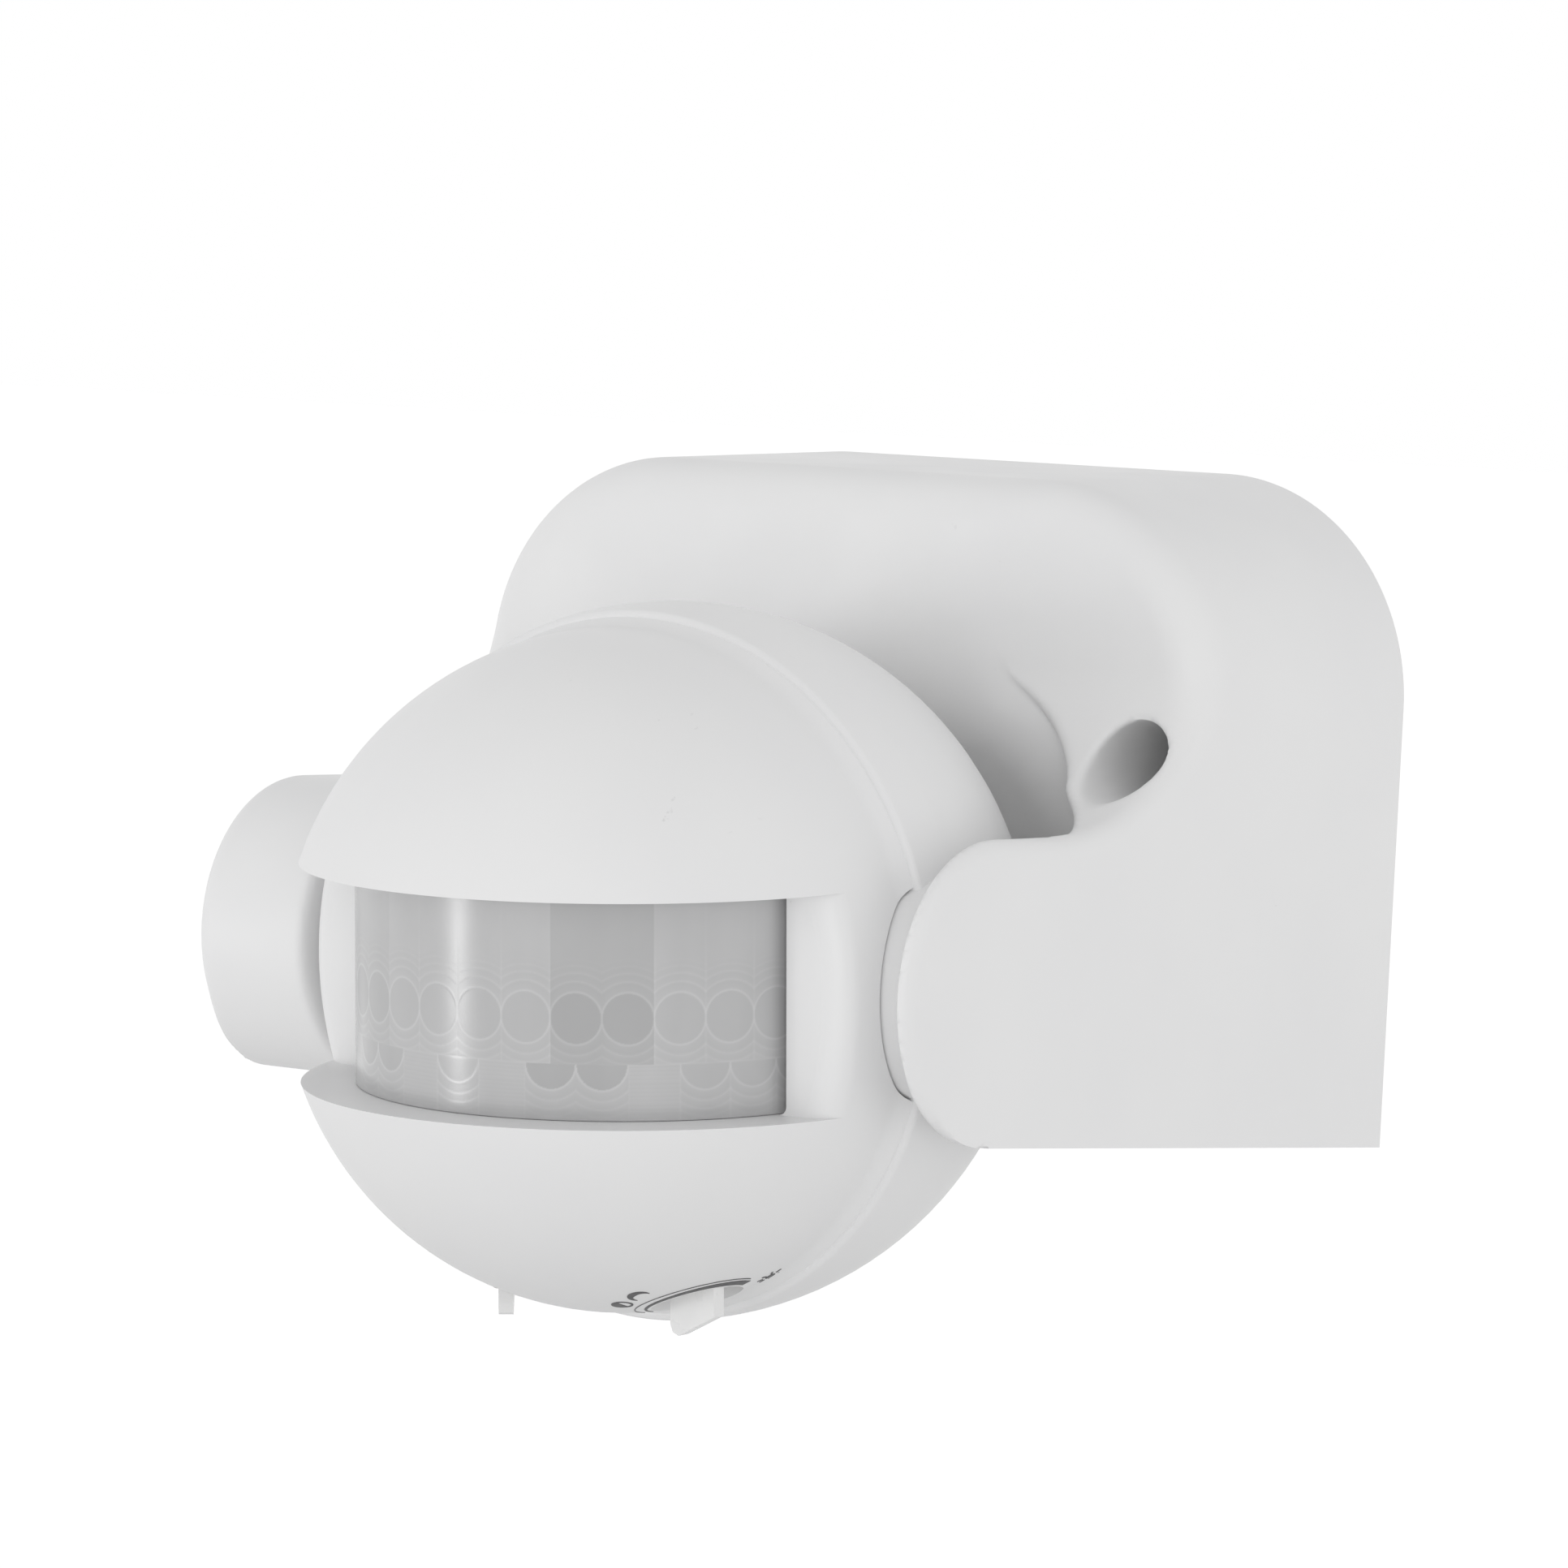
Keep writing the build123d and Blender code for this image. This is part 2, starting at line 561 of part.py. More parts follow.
with BuildPart() as front_cover:
    # Walls of the window pocket
    with BuildSketch(front_plane(WINDOW_Y + LEDGE)):
        with Locations((0, (BROW_Z + SILL_Z) / 2)):
            Rectangle(2 * DOME_RADIUS, BROW_Z - SILL_Z + 2 * LEDGE)
    extrude(amount=DOME_RADIUS)
    # Posts for the cover screws, and the seats of the knobs
    with BuildSketch(front_plane(SEAM_Y)):
        with Locations(*COVER_SCREW_PLACES):
            Circle(POST_RADIUS)
    extrude(amount=DOME_RADIUS)
    with BuildSketch(level_plane(RECESS_Z + 1.6)):
        with Locations(*KNOB_PLACES):
            Circle(RECESS_RADIUS + 1.6)
    extrude(amount=-9)
    add(dome.part, mode=Mode.INTERSECT)
    add(dome_shell.part)
    # Window pocket, its rounded ends and the opening for the lens
    with BuildSketch(front_plane(WINDOW_Y)):
        with Locations((0, (BROW_Z + SILL_Z) / 2)):
            Rectangle(4 * DOME_RADIUS, BROW_Z - SILL_Z)
    extrude(amount=DOME_RADIUS, mode=Mode.SUBTRACT)
    pocket_ends = front_cover.edges().filter_by(
        lambda e: abs(e.center().X) > POCKET_END_X and abs(e.center().Y - WINDOW_Y) < 0.5
    )
    fillet(pocket_ends, POCKET_END_RADIUS)
    with BuildSketch(front_plane(WINDOW_Y)):
        with Locations((0, (BROW_Z + SILL_Z) / 2)):
            RectangleRounded(2 * OPENING_HALF_WIDTH, BROW_Z - SILL_Z, 0.9)
    extrude(amount=-10, mode=Mode.SUBTRACT)
    # Knob recesses and the holes for their shafts
    with BuildSketch(level_plane(RECESS_Z)):
        with Locations(*KNOB_PLACES):
            Circle(RECESS_RADIUS)
    extrude(amount=-10, mode=Mode.SUBTRACT)
    with BuildSketch(level_plane(RECESS_Z + 2)):
        with Locations(*KNOB_PLACES):
            Circle(SHAFT_RADIUS + 0.15)
    extrude(amount=-10, mode=Mode.SUBTRACT)
    # Pilot holes, and notches round the collars
    with BuildSketch(front_plane(SEAM_Y)):
        with Locations(*COVER_SCREW_PLACES):
            Circle(1.25)
    extrude(amount=11, mode=Mode.SUBTRACT)
    for side in (-1, 1):
        with BuildSketch(side_plane(side * 29)):
            Circle(COLLAR_RADIUS + 0.25)
        extrude(amount=side * 10, mode=Mode.SUBTRACT)

front_cover.part.label = "front_cover"
front_cover.part.locate(HEAD_POSE)
export_step(front_cover.part, "parts/front_cover.step")


def lens_sector(outer, inner, half_angle):
    """Plan view of a band bent round the lens axis, symmetric about the front."""
    with BuildSketch() as sector:
        with BuildLine():
            arc_out = CenterArc((0, LENS_Y), outer, 270 - half_angle, 2 * half_angle)
            arc_in = CenterArc((0, LENS_Y), inner, 270 - half_angle, 2 * half_angle)
            Line(arc_out @ 0, arc_in @ 0)
            Line(arc_out @ 1, arc_in @ 1)
        make_face()
    return sector.sketch


LENS_BAND = lens_sector(LENS_RADIUS, LENS_RADIUS - LENS_THICKNESS, LENS_HALF_ANGLE)
with BuildPart() as fresnel_lens:
    with BuildSketch(level_plane(SILL_Z + 0.05)):
        add(LENS_BAND)
    extrude(amount=BROW_Z - SILL_Z - 0.1)

fresnel_lens.part.label = "fresnel_lens"
fresnel_lens.part.locate(HEAD_POSE)
export_step(fresnel_lens.part, "parts/fresnel_lens.step")

# Frame behind the lens: a rail above, a rail below and two end posts
FRAME_OUT = LENS_RADIUS - LENS_THICKNESS - 0.1
FRAME_IN = FRAME_OUT - 1.6
RAIL = 1.5
FRAME_BAND = lens_sector(FRAME_OUT, FRAME_IN, LENS_HALF_ANGLE - 1)
FRAME_OPENING = lens_sector(FRAME_OUT + 2, FRAME_IN - 2, LENS_HALF_ANGLE - 5)
with BuildPart() as lens_frame:
    with BuildSketch(level_plane(SILL_Z + 0.1)):
        add(FRAME_BAND)
    extrude(amount=BROW_Z - SILL_Z - 0.2)
    with BuildSketch(level_plane(SILL_Z + 0.1 + RAIL)):
        add(FRAME_OPENING)
    extrude(amount=BROW_Z - SILL_Z - 0.2 - 2 * RAIL, mode=Mode.SUBTRACT)

lens_frame.part.label = "lens_frame"
lens_frame.part.locate(HEAD_POSE)
export_step(lens_frame.part, "parts/lens_frame.step")

# Circuit boards, joined by two spacers
with BuildPart() as sensor_board:
    with BuildSketch(front_plane(SENSOR_BOARD_Y)):
        with Locations((0, 1)):
            RectangleRounded(34, 46, 2)
        with Locations(*BOARD_SCREW_PLACES):
            Circle(1.3, mode=Mode.SUBTRACT)
    extrude(amount=BOARD_THICKNESS)

sensor_board.part.label = "sensor_board"
sensor_board.part.locate(HEAD_POSE)
export_step(sensor_board.part, "parts/sensor_board.step")

with BuildPart() as power_board:
    with BuildSketch(front_plane(POWER_BOARD_Y)):
        RectangleRounded(33, 46, 2)
        with Locations(*BOARD_SCREW_PLACES):
            Circle(1.3, mode=Mode.SUBTRACT)
    extrude(amount=BOARD_THICKNESS)

power_board.part.label = "power_board"
power_board.part.locate(HEAD_POSE)
export_step(power_board.part, "parts/power_board.step")

SPACER_LENGTH = POWER_BOARD_Y - BOARD_THICKNESS - SENSOR_BOARD_Y
with BuildPart() as board_spacers:
    with BuildSketch(front_plane(POWER_BOARD_Y - BOARD_THICKNESS)):
        with Locations(*BOARD_SCREW_PLACES):
            Circle(2.4)
            Circle(1.3, mode=Mode.SUBTRACT)
    extrude(amount=SPACER_LENGTH)

board_spacers.part.label = "board_spacers"
board_spacers.part.locate(HEAD_POSE)
export_step(board_spacers.part, "parts/board_spacers.step")

BOARD_SCREW_Y = SENSOR_BOARD_Y - BOARD_THICKNESS
BOARD_SCREW = cross_screw(2.2, 1.6, 1.2, POWER_BOARD_Y - BOARD_SCREW_Y + 7)
with BuildPart() as board_screws:
    for screw_x, screw_z in BOARD_SCREW_PLACES:
        add(BOARD_SCREW.moved(facing_front(screw_x, BOARD_SCREW_Y, screw_z)))

board_screws.part.label = "board_screws"
board_screws.part.locate(HEAD_POSE)
export_step(board_screws.part, "parts/board_screws.step")

COVER_SCREW = cross_screw(2.7, 2.0, 1.2, 12.0)
with BuildPart() as cover_screws:
    for screw_x, screw_z in COVER_SCREW_PLACES:
        add(COVER_SCREW.moved(facing_back(screw_x, COVER_SEAT_Y, screw_z)))

cover_screws.part.label = "cover_screws"
cover_screws.part.locate(HEAD_POSE)
export_step(cover_screws.part, "parts/cover_screws.step")

# Pyroelectric detector: a metal can with a small filter window
CAN_FRONT_Y = BOARD_SCREW_Y - 4.8
with BuildPart() as pir_detector:
    with BuildSketch(front_plane(BOARD_SCREW_Y)):
        with Locations((0, DETECTOR_Z)):
            Circle(4.6)
    extrude(amount=0.6)
    with BuildSketch(front_plane(BOARD_SCREW_Y)):
        with Locations((0, DETECTOR_Z)):
            Circle(4.1)
    extrude(amount=4.8)
    fillet(pir_detector.edges().filter_by(GeomType.CIRCLE).sort_by(Axis.Y)[0], 0.5)
    with BuildSketch(front_plane(CAN_FRONT_Y)):
        with Locations((0, DETECTOR_Z)):
            Rectangle(4.2, 3.2)
    extrude(amount=-0.6, mode=Mode.SUBTRACT)

pir_detector.part.label = "pir_detector"
pir_detector.part.locate(HEAD_POSE)
export_step(pir_detector.part, "parts/pir_detector.step")

with BuildPart() as pir_filter:
    with BuildSketch(front_plane(CAN_FRONT_Y + 0.6)):
        with Locations((0, DETECTOR_Z)):
            Rectangle(4.1, 3.1)
    extrude(amount=0.5)

pir_filter.part.label = "pir_filter"
pir_filter.part.locate(HEAD_POSE)
export_step(pir_filter.part, "parts/pir_filter.step")

# Daylight sensor beside the detector
with BuildPart() as light_sensor:
    with BuildSketch(front_plane(BOARD_SCREW_Y)):
        with Locations((11, -6)):
            Circle(2.5)
            with Locations((0, 2.9), (0, -2.9)):
                Rectangle(5, 1.6, mode=Mode.SUBTRACT)
    extrude(amount=2.2)

light_sensor.part.label = "light_sensor"
light_sensor.part.locate(HEAD_POSE)
export_step(light_sensor.part, "parts/light_sensor.step")


def board_block(label, y, x, z, width, height, depth, rounding):
    """A box-shaped component that stands on a board and reaches back by its depth."""
    with BuildPart() as block:
        with BuildSketch(front_plane(y)):
            with Locations((x, z)):
                Rectangle(width, height)
        extrude(amount=-depth)
        fillet(block.edges(), rounding)
    block.part.label = label
    block.part.locate(HEAD_POSE)
    export_step(block.part, f"parts/{label}.step")


board_block("control_ic", SENSOR_BOARD_Y, 0, 6, 9, 5, 2.0, 0.3)
board_block("relay", POWER_BOARD_Y, 0, 0, 19, 15, 14.5, 0.8)
board_block("film_capacitor", POWER_BOARD_Y, 0, 13, 14, 5, 9.5, 0.7)

with BuildPart() as electrolytic_capacitors:
    with BuildSketch(front_plane(POWER_BOARD_Y)):
        with Locations((-7, -12.5), (7, -12.5)):
            Circle(4)
    extrude(amount=-11)
    fillet(electrolytic_capacitors.edges().filter_by(GeomType.CIRCLE), 0.6)

electrolytic_capacitors.part.label = "electrolytic_capacitors"
electrolytic_capacitors.part.locate(HEAD_POSE)
export_step(electrolytic_capacitors.part, "parts/electrolytic_capacitors.step")

with BuildPart() as rectifier_diodes:
    for row in range(4):
        with BuildSketch(side_plane(-6)):
            with Locations((POWER_BOARD_Y - BOARD_THICKNESS - 1.4, -9 + 4 * row)):
                Circle(1.35)
        extrude(amount=5)

rectifier_diodes.part.label = "rectifier_diodes"
rectifier_diodes.part.locate(HEAD_POSE)
export_step(rectifier_diodes.part, "parts/rectifier_diodes.step")

# Pin header that links the two boards
with BuildPart() as board_link:
    with BuildSketch(front_plane(POWER_BOARD_Y - BOARD_THICKNESS)):
        with Locations((12, 4)):
            Rectangle(2.5, 12.5)
    extrude(amount=SPACER_LENGTH)

board_link.part.label = "board_link"
board_link.part.locate(HEAD_POSE)
export_step(board_link.part, "parts/board_link.step")

# Leads from the power board out through the hollow pivot
with BuildPart() as head_leads:
    for lead in (-1, 0, 1):
        with BuildLine() as route:
            FilletPolyline(
                (-14, POWER_BOARD_Y - BOARD_THICKNESS - 1.2, 2.2 * lead),
                (-22, 6.5, 2.2 * lead),
                (-30, 0, 2.2 * lead),
                (-TRUNNION_END + 0.2, 0, 2.2 * lead),
                radius=6.0,
            )
        with BuildSketch(Plane(route.line @ 0, z_dir=route.line % 0)):
            Circle(LEAD_RADIUS)
        sweep(path=route.line)

head_leads.part.label = "head_leads"
head_leads.part.locate(HEAD_POSE)
export_step(head_leads.part, "parts/head_leads.step")

# Seals in the collar faces
for label, seal_x in (
    ("left_pivot_seal", -LEFT_COLLAR_END + 0.55),
    ("right_pivot_seal", RIGHT_COLLAR_END - 0.55),
):
    with BuildPart() as pivot_seal:
        with BuildSketch(Plane.XY):
            with Locations((seal_x, SEAL_RADIUS)):
                Circle(SEAL_SECTION)
        revolve(axis=Axis.X)
    pivot_seal.part.label = label
    pivot_seal.part.locate(HEAD_POSE)
    export_step(pivot_seal.part, f"parts/{label}.step")

# Friction washer and spring clip on the left pivot
with BuildPart() as friction_washer:
    with BuildSketch(side_plane(-GAP_LEFT - BUSH_END - 0.1)):
        Circle(10.4)
        Circle(TRUNNION_RADIUS + 0.1, mode=Mode.SUBTRACT)
    extrude(amount=-0.8)

friction_washer.part.label = "friction_washer"
friction_washer.part.locate(HEAD_POSE)
export_step(friction_washer.part, "parts/friction_washer.step")

with BuildPart() as pivot_clip:
    with BuildSketch(side_plane(CLIP_X)):
        Circle(10.2)
        Circle(CLIP_GROOVE_RADIUS + 0.05, mode=Mode.SUBTRACT)
        with Locations((-8, 0)):
            Rectangle(10, 9, mode=Mode.SUBTRACT)
    extrude(amount=-CLIP_THICKNESS)

pivot_clip.part.label = "pivot_clip"
pivot_clip.part.locate(HEAD_POSE)
export_step(pivot_clip.part, "parts/pivot_clip.step")

# ======================================================= controls underneath
POT_BOTTOM = RECESS_Z + 1.9
POT_HEIGHT = 5.0
ROTOR_TOP = POT_BOTTOM + 3.2
KNOB_TOP = RECESS_Z - 0.2
KNOB_BOTTOM = KNOB_TOP - KNOB_DISC


def potentiometer(label, x):
    """Round control body with a foot that reaches back to the sensor board."""
    with BuildPart() as pot:
        with BuildSketch(level_plane(POT_BOTTOM)):
            with Locations((x, KNOB_Y)):
                Circle(4.6)
            with Locations((x, (KNOB_Y + BOARD_SCREW_Y) / 2)):
                Rectangle(7, BOARD_SCREW_Y - KNOB_Y)
        extrude(amount=POT_HEIGHT)
        with BuildSketch(level_plane(POT_BOTTOM)):
            with Locations((x, KNOB_Y)):
                Circle(SHAFT_RADIUS + PIVOT_CLEARANCE)
        extrude(amount=3.4, mode=Mode.SUBTRACT)
    pot.part.label = label
    pot.part.locate(HEAD_POSE)
    export_step(pot.part, f"parts/{label}.step")


def rotor(label, x):
    """Shaft that the knob is pushed on to, with a flat on one side."""
    with BuildPart() as shaft:
        with BuildSketch(level_plane(ROTOR_TOP)):
            with Locations((x, KNOB_Y)):
                Circle(SHAFT_RADIUS)
        extrude(amount=KNOB_BOTTOM - ROTOR_TOP)
    shaft.part.label = label
    shaft.part.locate(HEAD_POSE)
    export_step(shaft.part, f"parts/{label}.step")


def knob(label, x, angle):
    """Disc with a fin across it; the fin is deeper at one end, which is its pointer."""
    direction = (cos(radians(angle)), sin(radians(angle)), 0)
    normal = (sin(radians(angle)), -cos(radians(angle)), 0)
    half = FIN_LENGTH / 2
    with BuildPart() as body:
        with BuildSketch(level_plane(KNOB_TOP)):
            with Locations((x, KNOB_Y)):
                Circle(KNOB_RADIUS)
                Circle(SHAFT_RADIUS, mode=Mode.SUBTRACT)
        extrude(amount=-KNOB_DISC)
        with BuildSketch(Plane(origin=(x, KNOB_Y, 0), x_dir=direction, z_dir=normal)):
            with BuildLine():
                Polyline(
                    (-half, KNOB_BOTTOM),
                    (half, KNOB_BOTTOM),
                    (half, FIN_SHALLOW_Z),
                    (-half + 1.1, FIN_DEEP_Z),
                    (-half + 0.3, FIN_DEEP_Z + 0.3),
                    (-half, FIN_DEEP_Z + 1.1),
                    close=True,
                )
            make_face()
        extrude(amount=FIN_THICKNESS / 2, both=True)
    body.part.label = label
    body.part.locate(HEAD_POSE)
    export_step(body.part, f"parts/{label}.step")


potentiometer("lux_potentiometer", KNOB_X)
potentiometer("time_potentiometer", -KNOB_X)
rotor("lux_rotor", KNOB_X)
rotor("time_rotor", -KNOB_X)
knob("lux_knob", KNOB_X, LUX_FIN_ANGLE)
knob("time_knob", -KNOB_X, TIME_FIN_ANGLE)
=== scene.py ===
"""Looks of the wall-mounted motion sensor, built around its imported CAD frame.

Lengths are in millimetres unless a comment says metres. The wall is y = 0, and +Z is up.
"""

import json
import math

import bmesh
import bpy
import numpy as np
from mathutils import Matrix, Vector


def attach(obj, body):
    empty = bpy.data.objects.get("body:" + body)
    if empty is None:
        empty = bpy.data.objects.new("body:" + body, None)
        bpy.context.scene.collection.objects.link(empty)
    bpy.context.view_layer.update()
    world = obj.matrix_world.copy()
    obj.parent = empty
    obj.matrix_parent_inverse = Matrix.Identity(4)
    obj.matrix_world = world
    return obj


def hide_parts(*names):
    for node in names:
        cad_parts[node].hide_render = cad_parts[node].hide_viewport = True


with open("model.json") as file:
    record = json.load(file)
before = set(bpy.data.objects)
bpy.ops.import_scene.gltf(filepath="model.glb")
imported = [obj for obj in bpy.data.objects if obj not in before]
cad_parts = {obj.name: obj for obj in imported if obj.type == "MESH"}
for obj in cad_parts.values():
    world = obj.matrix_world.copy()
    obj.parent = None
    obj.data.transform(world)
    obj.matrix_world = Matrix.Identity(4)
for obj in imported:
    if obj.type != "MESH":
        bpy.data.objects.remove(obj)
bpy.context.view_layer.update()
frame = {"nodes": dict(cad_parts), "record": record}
nodes = frame["nodes"]
MM = 0.001

# Main places, as the CAD has them
PIVOT_Y = -68.0
HEAD_X = 5.5
HEAD_TILT = 4.8
HEAD_MATRIX = Matrix.Translation((HEAD_X * MM, PIVOT_Y * MM, 0)) @ Matrix.Rotation(
    math.radians(HEAD_TILT), 4, "X"
)


# ------------------------------------------------------------------ materials
# A noise's values lie mostly within this range
NOISE_RANGE = (0.3, 0.7)
# The roughness varies over smaller patches than the tone, by this factor
ROUGH_SCALE = 2.3
# Scuffs set in where the noises pass a threshold, over this step
SPECK_THRESHOLD, SCUFF_EDGE, SCUFF_GREY = 0.70, 0.06, 0.22


def grey(value):
    """A neutral colour."""
    return (value, value, value)


def add_node(owner, kind, inputs=None, **settings):
    """One shader node of a material or a world. Inputs are values or other nodes' outputs."""
    node = owner.node_tree.nodes.new(kind)
    for key, value in settings.items():
        setattr(node, key, value)
    for key, value in (inputs or {}).items():
        if isinstance(value, bpy.types.NodeSocket):
            owner.node_tree.links.new(value, node.inputs[key])
        else:
            node.inputs[key].default_value = value
    return node


def noise(owner, scale, detail=3.0, stretch=(1, 1, 1)):
    """Noise in object space, with its scale in features per metre."""
    place = add_node(owner, "ShaderNodeTexCoord").outputs["Object"]
    mapped = add_node(owner, "ShaderNodeMapping", {"Vector": place, "Scale": stretch})
    inputs = {"Vector": mapped.outputs["Vector"], "Scale": scale, "Detail": detail}
    return add_node(owner, "ShaderNodeTexNoise", inputs).outputs["Fac"]


def ramp(owner, value, low, high, out_low, out_high):
    """Maps value from low..high to out_low..out_high, clamped."""
    inputs = {0: value, 1: low, 2: high, 3: out_low, 4: out_high}
    return add_node(owner, "ShaderNodeMapRange", inputs).outputs["Result"]


def spread(owner, value, out_low, out_high):
    """Maps the range that most of a noise lies in to out_low..out_high."""
    return ramp(owner, value, *NOISE_RANGE, out_low, out_high)


def times(owner, a, b):
    """The product of two values."""
    return add_node(owner, "ShaderNodeMath", {0: a, 1: b}, operation="MULTIPLY").outputs[0]


def blend(owner, factor, color_a, color_b):
    """A colour from color_a to color_b, by factor; each is three numbers or a socket."""
    node = add_node(owner, "ShaderNodeMix", {0: factor}, data_type="RGBA")
    for socket, value in ((node.inputs[6], color_a), (node.inputs[7], color_b)):
        if isinstance(value, bpy.types.NodeSocket):
            owner.node_tree.links.new(value, socket)
        else:
            socket.default_value = (*value, 1)
    return node.outputs[2]


def new_material(name):
    """A material with nodes."""
    material = bpy.data.materials.new(name)
    material.use_nodes = True
    return material


def shader_inputs(material):
    """The inputs of a material's shader."""
    return material.node_tree.nodes["Principled BSDF"].inputs


def feed(material, name, value):
    """Links a node's output to an input of the material's shader."""
    material.node_tree.links.new(value, shader_inputs(material)[name])


def surface(name, dark, light, tone_scale, gloss, grain, metallic=0.0, stretch=(1, 1, 1)):
    """Uneven colour and gloss with a fine grain.

    gloss is the lowest and the highest roughness, and grain is its scale and its depth.
    """
    material = new_material(name)
    grain_scale, grain_depth = grain
    tone = noise(material, tone_scale, stretch=stretch)
    feed(material, "Base Color", blend(material, spread(material, tone, 0, 1), dark, light))
    rough = noise(material, tone_scale * ROUGH_SCALE)
    feed(material, "Roughness", spread(material, rough, *gloss))
    height = noise(material, grain_scale, 2.0, stretch)
    inputs = {"Strength": 1.0, "Distance": grain_depth * MM, "Height": height}
    feed(material, "Normal", add_node(material, "ShaderNodeBump", inputs).outputs["Normal"])
    shader_inputs(material)["Metallic"].default_value = metallic
    return material


def scuff(material, threshold, darkening):
    """Adds sparse small scuffs and specks to a surface's colour, where a broad noise is high."""
    clean = shader_inputs(material)["Base Color"].links[0].from_socket
    fine = noise(material, 900, 4.0, (1.0, 0.35, 1.0))
    broad = noise(material, 60, 2.0)
    specks = ramp(material, fine, SPECK_THRESHOLD, SPECK_THRESHOLD + SCUFF_EDGE, 0, 1)
    patches = ramp(material, broad, threshold, threshold + SCUFF_EDGE, 0, 1)
    mark = times(material, times(material, specks, patches), darkening)
    feed(material, "Base Color", blend(material, mark, clean, grey(SCUFF_GREY)))


# Slot: dark colour, light colour, tone scale, roughness, grain, and where needed
# metallic and stretch
FINISHES = {
    "housing_plastic": ((0.80, 0.80, 0.805), grey(0.825), 38, (0.38, 0.5), (2600, 0.004)),
    "knob_plastic": (grey(0.82), (0.85, 0.85, 0.845), 200, (0.25, 0.35), (3000, 0.002)),
    "natural_plastic": (
        (0.62, 0.61, 0.57), (0.70, 0.69, 0.65), 150, (0.4, 0.5), (1800, 0.006)
    ),
    "terminal_plastic": (
        (0.70, 0.70, 0.68), (0.78, 0.78, 0.76), 120, (0.35, 0.45), (1800, 0.006)
    ),
    "black_rubber": (grey(0.018), grey(0.04), 300, (0.65, 0.8), (2200, 0.02)),
    "brass": (
        (0.55, 0.38, 0.13), (0.72, 0.53, 0.22), 400, (0.25, 0.4), (3000, 0.004), 1.0, (1, 1, 0.1)
    ),
    "screw_steel": (
        (0.45, 0.45, 0.46), (0.62, 0.62, 0.63), 500, (0.28, 0.42), (2600, 0.006), 1.0
    ),
    "detector_can": (grey(0.5), (0.62, 0.62, 0.6), 600, (0.2, 0.32), (2600, 0.003), 1.0),
    "dark_filter": (
        (0.02, 0.015, 0.02), (0.04, 0.03, 0.04), 500, (0.1, 0.16), (1500, 0.002)
    ),
    "circuit_board": (
        (0.02, 0.11, 0.045), (0.03, 0.17, 0.07), 420, (0.3, 0.42), (900, 0.02), 0, (1, 1, 0.15)
    ),
    "black_component": (grey(0.02), grey(0.035), 500, (0.5, 0.6), (2400, 0.01)),
    "relay_case": ((0.02, 0.06, 0.24), (0.03, 0.09, 0.32), 300, (0.35, 0.45), (2000, 0.006)),
    "capacitor_case": (
        (0.62, 0.42, 0.06), (0.72, 0.5, 0.1), 300, (0.3, 0.4), (2000, 0.006)
    ),
    "lead_insulation": (
        (0.16, 0.05, 0.02), (0.22, 0.07, 0.03), 300, (0.4, 0.5), (2000, 0.004)
    ),
}
finishes = {name: surface(name, *values) for name, values in FINISHES.items()}
scuff(finishes["housing_plastic"], threshold=0.62, darkening=0.25)


def dress(node, material):
    """Gives a CAD node one material."""
    node.data.materials.clear()
    node.data.materials.append(material)


slot_of = {part["node"]: part["material_slot"] for part in frame["record"]["subparts"]}
for name, node in nodes.items():
    if slot_of[name] in finishes:
        dress(node, finishes[slot_of[name]])


# ------------------------------------------------------------- making pieces
def linked(name, data):
    """A new object in the scene."""
    item = bpy.data.objects.new(name, data)
    bpy.context.scene.collection.objects.link(item)
    return item


def edit_mesh(mesh, change):
    """Runs a change, a function of a bmesh, on a mesh."""
    build = bmesh.new()
    build.from_mesh(mesh)
    change(build)
    build.to_mesh(mesh)
    build.free()


def new_piece(name, points, faces, material, body):
    """A smooth piece from points in metres, with one material; it rides on a body."""
    mesh = bpy.data.meshes.new(name)
    mesh.from_pydata(points, [], faces)
    mesh.validate()
    mesh.polygons.foreach_set("use_smooth", [True] * len(mesh.polygons))
    mesh.materials.append(material)
    piece = linked(name, mesh)
    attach(piece, body)
    return piece


def in_head(points):
    """Points in the head's own millimetres, as points in the row frame in metres."""
    spin = np.array(HEAD_MATRIX.to_3x3())
    return np.asarray(points) * MM @ spin.T + np.array(HEAD_MATRIX.translation)


# ----------------------------------------------------------- bracket housing
# The main body: it has two round upper corners, and its walls lean in away from the wall plane
BRACKET_WIDTH, BRACKET_TOP, BRACKET_BOTTOM = 96.3, 51.4, -18.0
CORNER, SLOPE, WALL = 23.5, math.tan(math.radians(2.3)), 2.5
FRONT_Y = -36.0
# The arms, and the hollow curve that leads from the front face down to them
ARM_RADIUS, ARM_LEFT_X, ARM_RIGHT_X = 15.3, HEAD_X - 36.0, HEAD_X + 38.0
ARM_ROOM_LEFT_X = -42.9
BLEND_DEPTH, BLEND_TOP = 23.0, 31.5
BLEND_HEIGHT = BLEND_TOP - ARM_RADIUS
# The rounding of the front edges: low down, on the arms and at the top
EDGE_SHARP, EDGE_SMALL, EDGE_LARGE = 0.2, 2.0, 4.6
SHARP_TOP = -6
# The scoop for the ball, and the rounding of its mouth, which grows by TOP_FLARE - SIDE_FLARE
# at the top and drops at the shoulders. The ranges are sines of the angle above level.
DISH_RADIUS, DISH_WALL, SPACE_FRONT_Y = 43.0, 2.3, -56.0
SIDE_FLARE, TOP_FLARE, SHOULDER_DROP = 21.0, 34.0, 5.5
TOP_RANGE, SHOULDER_START, SHOULDER_END = (0.86, 1.0), (0.4, 0.72), (0.84, 0.96)
